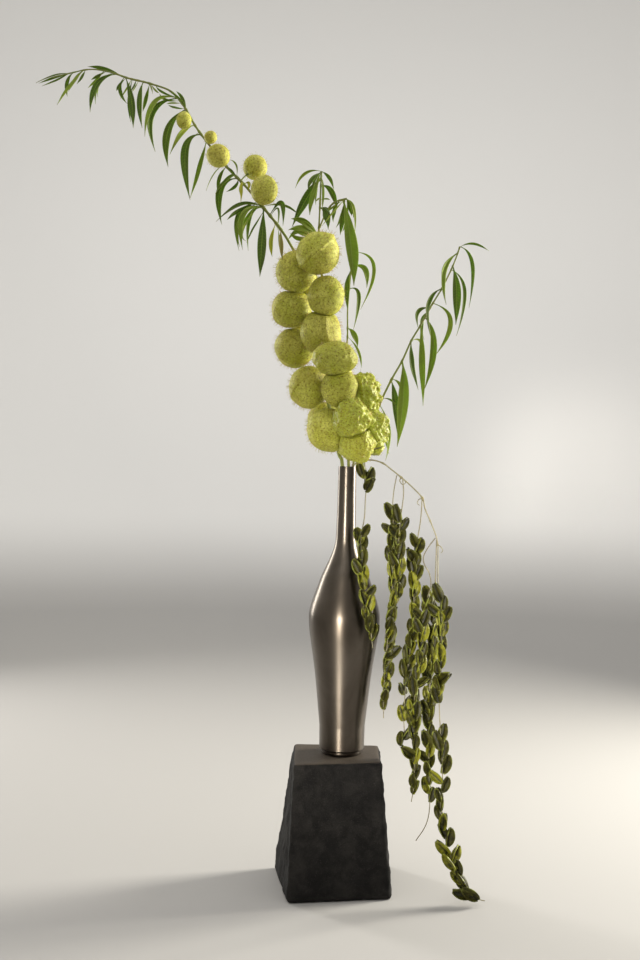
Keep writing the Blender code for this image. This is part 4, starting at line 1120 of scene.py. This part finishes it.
def podStalks(stem):
    # a thin stalk from the stem to each pod it carries, widening where it meets the pod
    made = []
    for key in stalks[stem]:
        centre = podFrame(key)[0]
        spot = Vector(pods[key][6]) * mm
        way = (centre - spot).normalized()
        hit, end, _, _ = podBodies[key].ray_cast(spot, way)
        if not hit or (end - spot).length < stalk["shortest"] * mm:
            continue
        end = end + way * stalk["sunk"] * mm
        middle = spot.lerp(end, 0.5) + Vector((0, 0, 0.06 * (end - spot).length))
        line = smoothLine([p / mm for p in (spot, middle, end)], 6)
        made.append(tubeAlong("stalk" + key, line, stalk["radii"], (), 1, stalk["step"]))
    return made


def buildStem(stem, name, node, shoots=()):
    # a stem with its shoots and its pods' stalks, swollen a little where leaves leave it above the vase
    joints = [(nearestOn(paths[line], Vector(row[0]) * mm), bark["joint"])
              for line in (stem, *shoots) for row in leaves[stem]]
    joints = [joint for joint in joints if joint[0].z > 0.6]
    pieces = [tubeAlong(line, paths[line], stems[line][1], joints, 3 if line == stem else 2)
              for line in (stem, *shoots)]
    piece = joinAll([*pieces, *podStalks(stem)], name)
    return finish(piece, [node], [stemBark], 50)


stemBark = makeBark("stemBark", bark["green"], bark["ripe"], bark["brown"])
vineBark = makeBark("vineBark", bark["tan"], rgb(0.25, 0.22, 0.10), rgb(0.12, 0.08, 0.05))
buildStem("main", "mainStem", "stem_main")
buildStem("upright", "uprightStem", "stem_upright", ("highShoot", "lowShoot"))
buildStem("right", "rightStem", "stem_right")
print("stems grown")

# the vine's knots, and the short curls left where tendrils were: start, bends and end
vineKnots = (((103, -30, 539), 1.5), ((74, -21, 567), 0.9), ((49, -13, 586), 0.5), ((125, -40, 475), 0.9),
             ((114, -35, 508), 0.5), ((23, -7, 589.5), 0.4))
curls = (
    ((74, -21, 567), (72, -23, 562), (76, -25, 557), (80, -24, 560), (78, -23, 564)),
    ((103, -30, 539), (98, -31, 537), (96, -33, 532), (99, -34, 529)),
    ((125, -40, 476), (129, -41, 473), (131, -43, 468), (128, -44, 465)),
)


def buildVine():
    knots = [(Vector(spot) * mm, swell) for spot, swell in vineKnots]
    pieces = [tubeAlong("vine", paths["vine"], stems["vine"][1], knots, 3, 1.6)]
    for number, curl in enumerate(curls):
        pieces.append(tubeAlong(f"curl{number}", smoothLine(curl, 5), (0.8, 0.6, 0.35), (), 1, 0.9))
    finish(joinAll(pieces, "vineStem"), ["vine"], [vineBark], 50)


buildVine()
print("vine bent")


# the hanging strings: points from the vine down, then the stretches of height that carry capsules
hangers = {
    "1": (((24, -7.4, 587.4), (24, -18, 569), (26, -23, 554), (25, -26, 535), (24, -30, 510),
           (20, -34, 487), (20, -39, 460), (22, -46, 433), (25, -52, 407), (29, -55, 380),
           (35, -56, 357), (38, -54, 335)), ((566, 538), (486, 336))),
    "2": (((68, -18.4, 569.6), (65, -12, 549), (64, -9, 528), (66, -7, 494), (66, -3, 452), (66, -6, 410),
           (64, -8, 375), (61, -10, 340), (58, -12, 306), (57, -12, 265), (57, -12, 232)),
          ((510, 234),)),
    "3": (((76, -24, 565), (77, -31, 543), (74, -35, 515), (71, -36, 474), (72, -37, 447),
           (73, -38, 413), (71, -38, 394)), ((510, 395),)),
    "4": (((103, -28, 538), (102, -22, 509), (99, -14, 481), (97, -9, 453), (96, -8, 412),
           (97, -6, 370), (93, -6, 329), (88, -9, 288), (86, -13, 260), (85, -14, 236),
           (86, -15, 209), (80, -17, 194)), ((474, 262), (242, 220), (206, 194))),
    "5": (((121, -39, 485), (113, -37, 474), (106, -35, 460), (107, -34, 449), (114, -34, 437),
           (117, -33, 420), (112, -32, 400), (107, -33, 373), (105, -34, 332), (101, -35, 290),
           (97, -36, 256), (98, -37, 222), (99, -37, 181), (99, -37, 147), (96, -37, 124)),
          ((396, 126),)),
    "6": (((125, -40, 473.4), (125, -42, 450), (126, -45, 417), (131, -52, 388), (130, -56, 354),
           (130, -57, 321), (128, -58, 294), (129, -58, 260), (131, -60, 227), (134, -61, 187),
           (135, -63, 154), (133, -65, 121), (139, -68, 89), (147, -71, 62), (158, -75, 36),
           (171, -78, 18), (184, -81, 9.5), (192, -82, 8)), ((402, 262), (216, 8))),
    "7": (((123, -37, 483), (124, -26, 446), (125, -11, 408), (125, -2, 375), (123, 0, 345),
           (121, -4, 311), (121, -8, 277), (119, -12, 244), (121, -14, 210), (121, -16, 177),
           (122, -18, 143), (123, -20, 112), (118, -22, 88), (104, -24, 66)), ((376, 112),)),
}
capsule = {
    "spacing": 8.4,
    "length": 24.5,
    "reach": 7.7,  # of a wing, from the axis
    "thick": 1.5,
    "thread": 0.8,
    "across": 3,
    "along": 8,
    "cup": 1.7,  # how far a wing bulges
    "vaseGap": 24.0,  # nearer the vase than this, capsules turn away from it
    "floorGap": 0.6,
    "dark": rgb(0.012, 0.013, 0.002),
    "olive": rgb(0.050, 0.049, 0.006),
    "bright": rgb(0.235, 0.235, 0.016),
    # the rim colour is a painted highlight along the wing rims
    "rim": rgb(0.23, 0.26, 0.045),
}


def buildCapsule():
    # three half-oval wings round one axis, thick at their rims
    reach, length = capsule["reach"] * mm, capsule["length"] * mm
    bpy.ops.mesh.primitive_grid_add(x_subdivisions=capsule["across"], y_subdivisions=capsule["along"], size=1,
                                    location=(0, 0, 0))
    wing = named("capsuleWings")
    openEdit(wing)
    bpy.ops.transform.translate(value=(0.5, 0.5, 0))
    bpy.ops.transform.resize(value=(reach, length, 1), center_override=(0, 0, 0))
    closeEdit()
    settle(wing)
    places = [(v.co.x / reach, v.co.y / length) for v in wing.data.vertices]
    rim = [max(outer ** 3, (abs(share - 0.5) * 2) ** 6 if outer > 0.1 else 0) for outer, share in places]
    keep(wing, "wing", [(*place, edge) for place, edge in zip(places, rim)])
    wing.data.attributes.new("tone", "FLOAT", "POINT")
    openEdit(wing)
    for row in range(capsule["along"] + 1):
        share = row / capsule["along"]
        y = share * length
        oval = max(math.sin(math.pi * (0.03 + 0.94 * share) ** 0.92) ** 0.55, 0.12)
        pick(wing, "VERT", lambda v, y=y: abs(v.co.y - y) < 0.0005)
        bpy.ops.transform.resize(value=(oval, 1, 1), center_override=(0, y, 0))
    for column, lift in ((1, 0.8), (2, 1.0)):
        pick(wing, "VERT", lambda v, column=column: abs(
            places[v.index][0] * capsule["across"] - column) < 0.1)
        bpy.ops.transform.translate(value=(0, 0, capsule["cup"] * lift * mm))
    closeEdit()
    thick = weigh(wing, "thickness", [0.38 + 0.62 * value for value in rim])
    openEdit(wing)
    bpy.ops.mesh.spin(steps=2, dupli=True, angle=math.radians(240), center=(0, 0, 0), axis=(0, 1, 0))
    closeEdit()
    modify(wing, "SOLIDIFY", thickness=capsule["thick"] * mm, offset=0, vertex_group=thick)
    wing.vertex_groups.clear()
    return wing


def capsuleSpots(key):
    # each capsule's matrix and tone: its root on the thread, pointing up and out, one wing mostly at the back
    points, stretches = hangers[key]
    path = smoothLine(points, 8)
    travelled, due, count = 0.0, 0.0, 0
    made = []
    for here, after in zip(path, path[1:]):
        span = after - here
        travelled += span.length
        if not any(high * mm >= here.z >= low * mm for high, low in stretches):
            due = travelled
            continue
        if travelled < due:
            continue
        due = travelled + capsule["spacing"] * mm
        count += 1
        down = span.normalized()
        seed = ord(key) + count
        across = down.cross(Vector((0, 1, 0))).normalized()
        depth = across.cross(down).normalized()
        angle = math.radians((180 if count % 2 else 0) + 130 * (jitter(seed, 1) - 0.5))
        outward = across * math.cos(angle) + depth * math.sin(angle)
        inward = -Vector((here.x, here.y, 0)).normalized()
        clear = Vector((here.x, here.y)).length - vaseRadius(here.z)
        if clear < capsule["vaseGap"] * mm and outward.dot(inward) > 0.1:
            outward = outward - inward * 2 * outward.dot(inward)
        tilt = math.radians(128 if count % 9 == 3 else 149 + 22 * jitter(seed, 2))
        heading = (down * math.cos(tilt) + outward * math.sin(tilt)).normalized()
        front = Vector((1.1 * (2 * jitter(seed, 5) - 1), -1 if count % 5 == 2 else 1, 0.2))
        front = (front - heading * front.dot(heading)).normalized()
        size = 0.84 + 0.28 * jitter(seed, 7)
        side = heading.cross(front).normalized()
        place = Matrix((front * size, heading * size, -side * size)).transposed().to_4x4()
        drop = min(0, heading.z) * capsule["length"] * size * mm
        low = here.z + drop - capsule["reach"] * mm * math.sqrt(max(1 - heading.z ** 2, 0))
        place.translation = here + Vector((0, 0, max(capsule["floorGap"] * mm - low, 0)))
        made.append((place, jitter(seed, 11)))
    return made


def makeHusk():
    material, tree, shader = newMaterial("capsuleHusk", {
        "Subsurface Weight": 0.10, "Subsurface Radius": (1.0, 1.0, 0.2), "Subsurface Scale": 0.003,
        "Specular IOR Level": 0.20})
    place = ownPlace(tree)
    tone = stored(tree, "tone")
    outer, _, rim = parts(stored(tree, "wing", "Vector"))
    patch = cloud(place, 120, 4, 0.6)
    fine = cloud(place, 900, 3, 0.6)
    colour = blend(rise(patch + 0.3 * (outer - 0.5), 0.34, 0.66), capsule["dark"], capsule["olive"])
    fresh = rise(tone + 1.1 * (patch - 0.5) + 0.2 * outer, 0.82, 1.25)
    colour = blend(fresh, colour, capsule["bright"])
    colour = blend(0.4 * rise(fine, 0.52, 0.72), colour, rgb(0.17, 0.13, 0.03))
    colour = blend(0.85 * (1 - rise(outer, 0.05, 0.26)), colour, rgb(0.012, 0.012, 0.003))
    # a painted highlight along the rims
    colour = blend(rise(rim, 0.6, 0.95) * rise(patch, 0.44, 0.62) * 0.8, colour, capsule["rim"])
    feed(shader, colour=colour, roughness=0.30 + 0.22 * patch, height=(patch * 0.6 + fine * 0.4, 0.7, 0.8))
    return material


def buildString(key, wings, stringSkins):
    # one hanging string: its capsules and the thread that carries them
    strung = copyOnto(wings, "string" + key, capsuleSpots(key))
    threadLine = tubeAlong("thread" + key, smoothLine(hangers[key][0], 6),
                           (capsule["thread"], capsule["thread"] * 0.8), (), 1, 4)
    for material in stringSkins:
        threadLine.data.materials.append(material)
    for face in threadLine.data.polygons:
        face.material_index = 1
    finish(joinAll([strung, threadLine], "string" + key), ["string_" + key], (), 50)


threadBark = makeBark("threadBark", rgb(0.20, 0.18, 0.11), rgb(0.30, 0.27, 0.16), rgb(0.09, 0.07, 0.05))
stringSkins = (makeHusk(), threadBark)
wings = buildCapsule()
for material in stringSkins:
    wings.data.materials.append(material)
for key in hangers:
    buildString(key, wings, stringSkins)
bpy.data.objects.remove(wings)
print("strings hung")


# the floor, a wide shallow bowl that ends the view softly on every side
floor = {  # in metres
    "radius": 3.2,
    "wall": 6.0,
    "rise": 5.0,
    "steps": 12,
    "fade": (-0.25, 0.4),  # heights between which the low colour turns to the high one
    "low": rgb(0.20, 0.19, 0.18),
    "high": rgb(0.86, 0.85, 0.83),
}


def buildFloor():
    bpy.ops.mesh.primitive_circle_add(vertices=96, radius=floor["radius"], fill_type="NOTHING",
                                      location=(0, 0, -0.0003))
    ground = named("studioFloor")
    openEdit(ground)
    reach, climb = floor["radius"], 0.0
    for step in range(1, floor["steps"] + 1):
        angle = math.pi / 2 * step / floor["steps"]
        reached = floor["radius"] + (floor["wall"] - floor["radius"]) * math.sin(angle)
        climbed = floor["rise"] * (1 - math.cos(angle))
        extrudeRing(climbed - climb, reached / reach, climbed)
        reach, climb = reached, climbed
    pick(ground, "EDGE", lambda e: max(v.co.length for v in e.verts) < floor["radius"] + 0.01)
    bpy.ops.mesh.edge_face_add()
    closeEdit()
    material, tree, shader = newMaterial("paleFloor", {"Roughness": 0.8, "Specular IOR Level": 0.2})
    level = parts(ownPlace(tree))[2]
    feed(shader, blend(rise(level, *floor["fade"]), floor["low"], floor["high"]))
    ground.data.materials.append(material)
    activate(ground)
    bpy.ops.object.shade_smooth()


buildFloor()

# soft lamps: place and aim in metres, size across and high, power, spread in degrees and colour
lamps = {
    "right": ((1.6, 0.62, 1.0), (-0.05, 0, 0.78), 0.5, 1.3, 57, 150, (1.0, 0.96, 0.86)),
    "leftBack": ((-1.5, 1.2, 1.0), (-0.05, 0, 0.6), 0.3, 1.3, 16, 150, (1.0, 0.97, 0.92)),
    "front": ((-0.62, -2.1, 0.20), (0, 0, 0.33), 0.5, 0.5, 1.0, 10, (1.0, 0.95, 0.86)),
    "top": ((0.1, -0.2, 2.6), (0, 0, 0.3), 1.6, 1.6, 8, 150, (1.0, 0.98, 0.95)),
    "backdrop": ((0, 2.8, 3.4), (0, 6, 0.5), 3.0, 1.0, 24, 150, (1.0, 0.99, 0.97)),
}
surround = {"Color": rgb(0.80, 0.79, 0.77), "Strength": 0.73}
world = bpy.data.worlds.new("studio")
world.use_nodes = True
for key, value in surround.items():
    world.node_tree.nodes["Background"].inputs[key].default_value = value
bpy.context.scene.world = world
for name, (place, aim, width, height, power, spread, colour) in lamps.items():
    bpy.ops.object.light_add(type="AREA", location=place)
    lamp = bpy.context.object
    lamp.name = name
    lamp.data.shape = "RECTANGLE"
    lamp.data.size = width
    lamp.data.size_y = height
    lamp.data.energy = power
    lamp.data.color = colour
    lamp.data.spread = math.radians(spread)
    lamp.rotation_euler = (Vector(aim) - Vector(place)).to_track_quat("-Z", "Y").to_euler()
print("lamps set")

# the camera looks level at the arrangement's middle, turned a little on its own axis
camera = {"place": (-0.038, -1.540, 0.561), "lens": 41.25, "roll": 1.2}
bpy.ops.object.camera_add(location=camera["place"],
                          rotation=(math.radians(90), math.radians(-camera["roll"]), 0))
view = bpy.context.object
view.name = "viewCamera"
view.data.lens = camera["lens"]
view.data.sensor_width = 36
bpy.context.scene.camera = view
bpy.context.scene.view_settings.view_transform = "Standard"
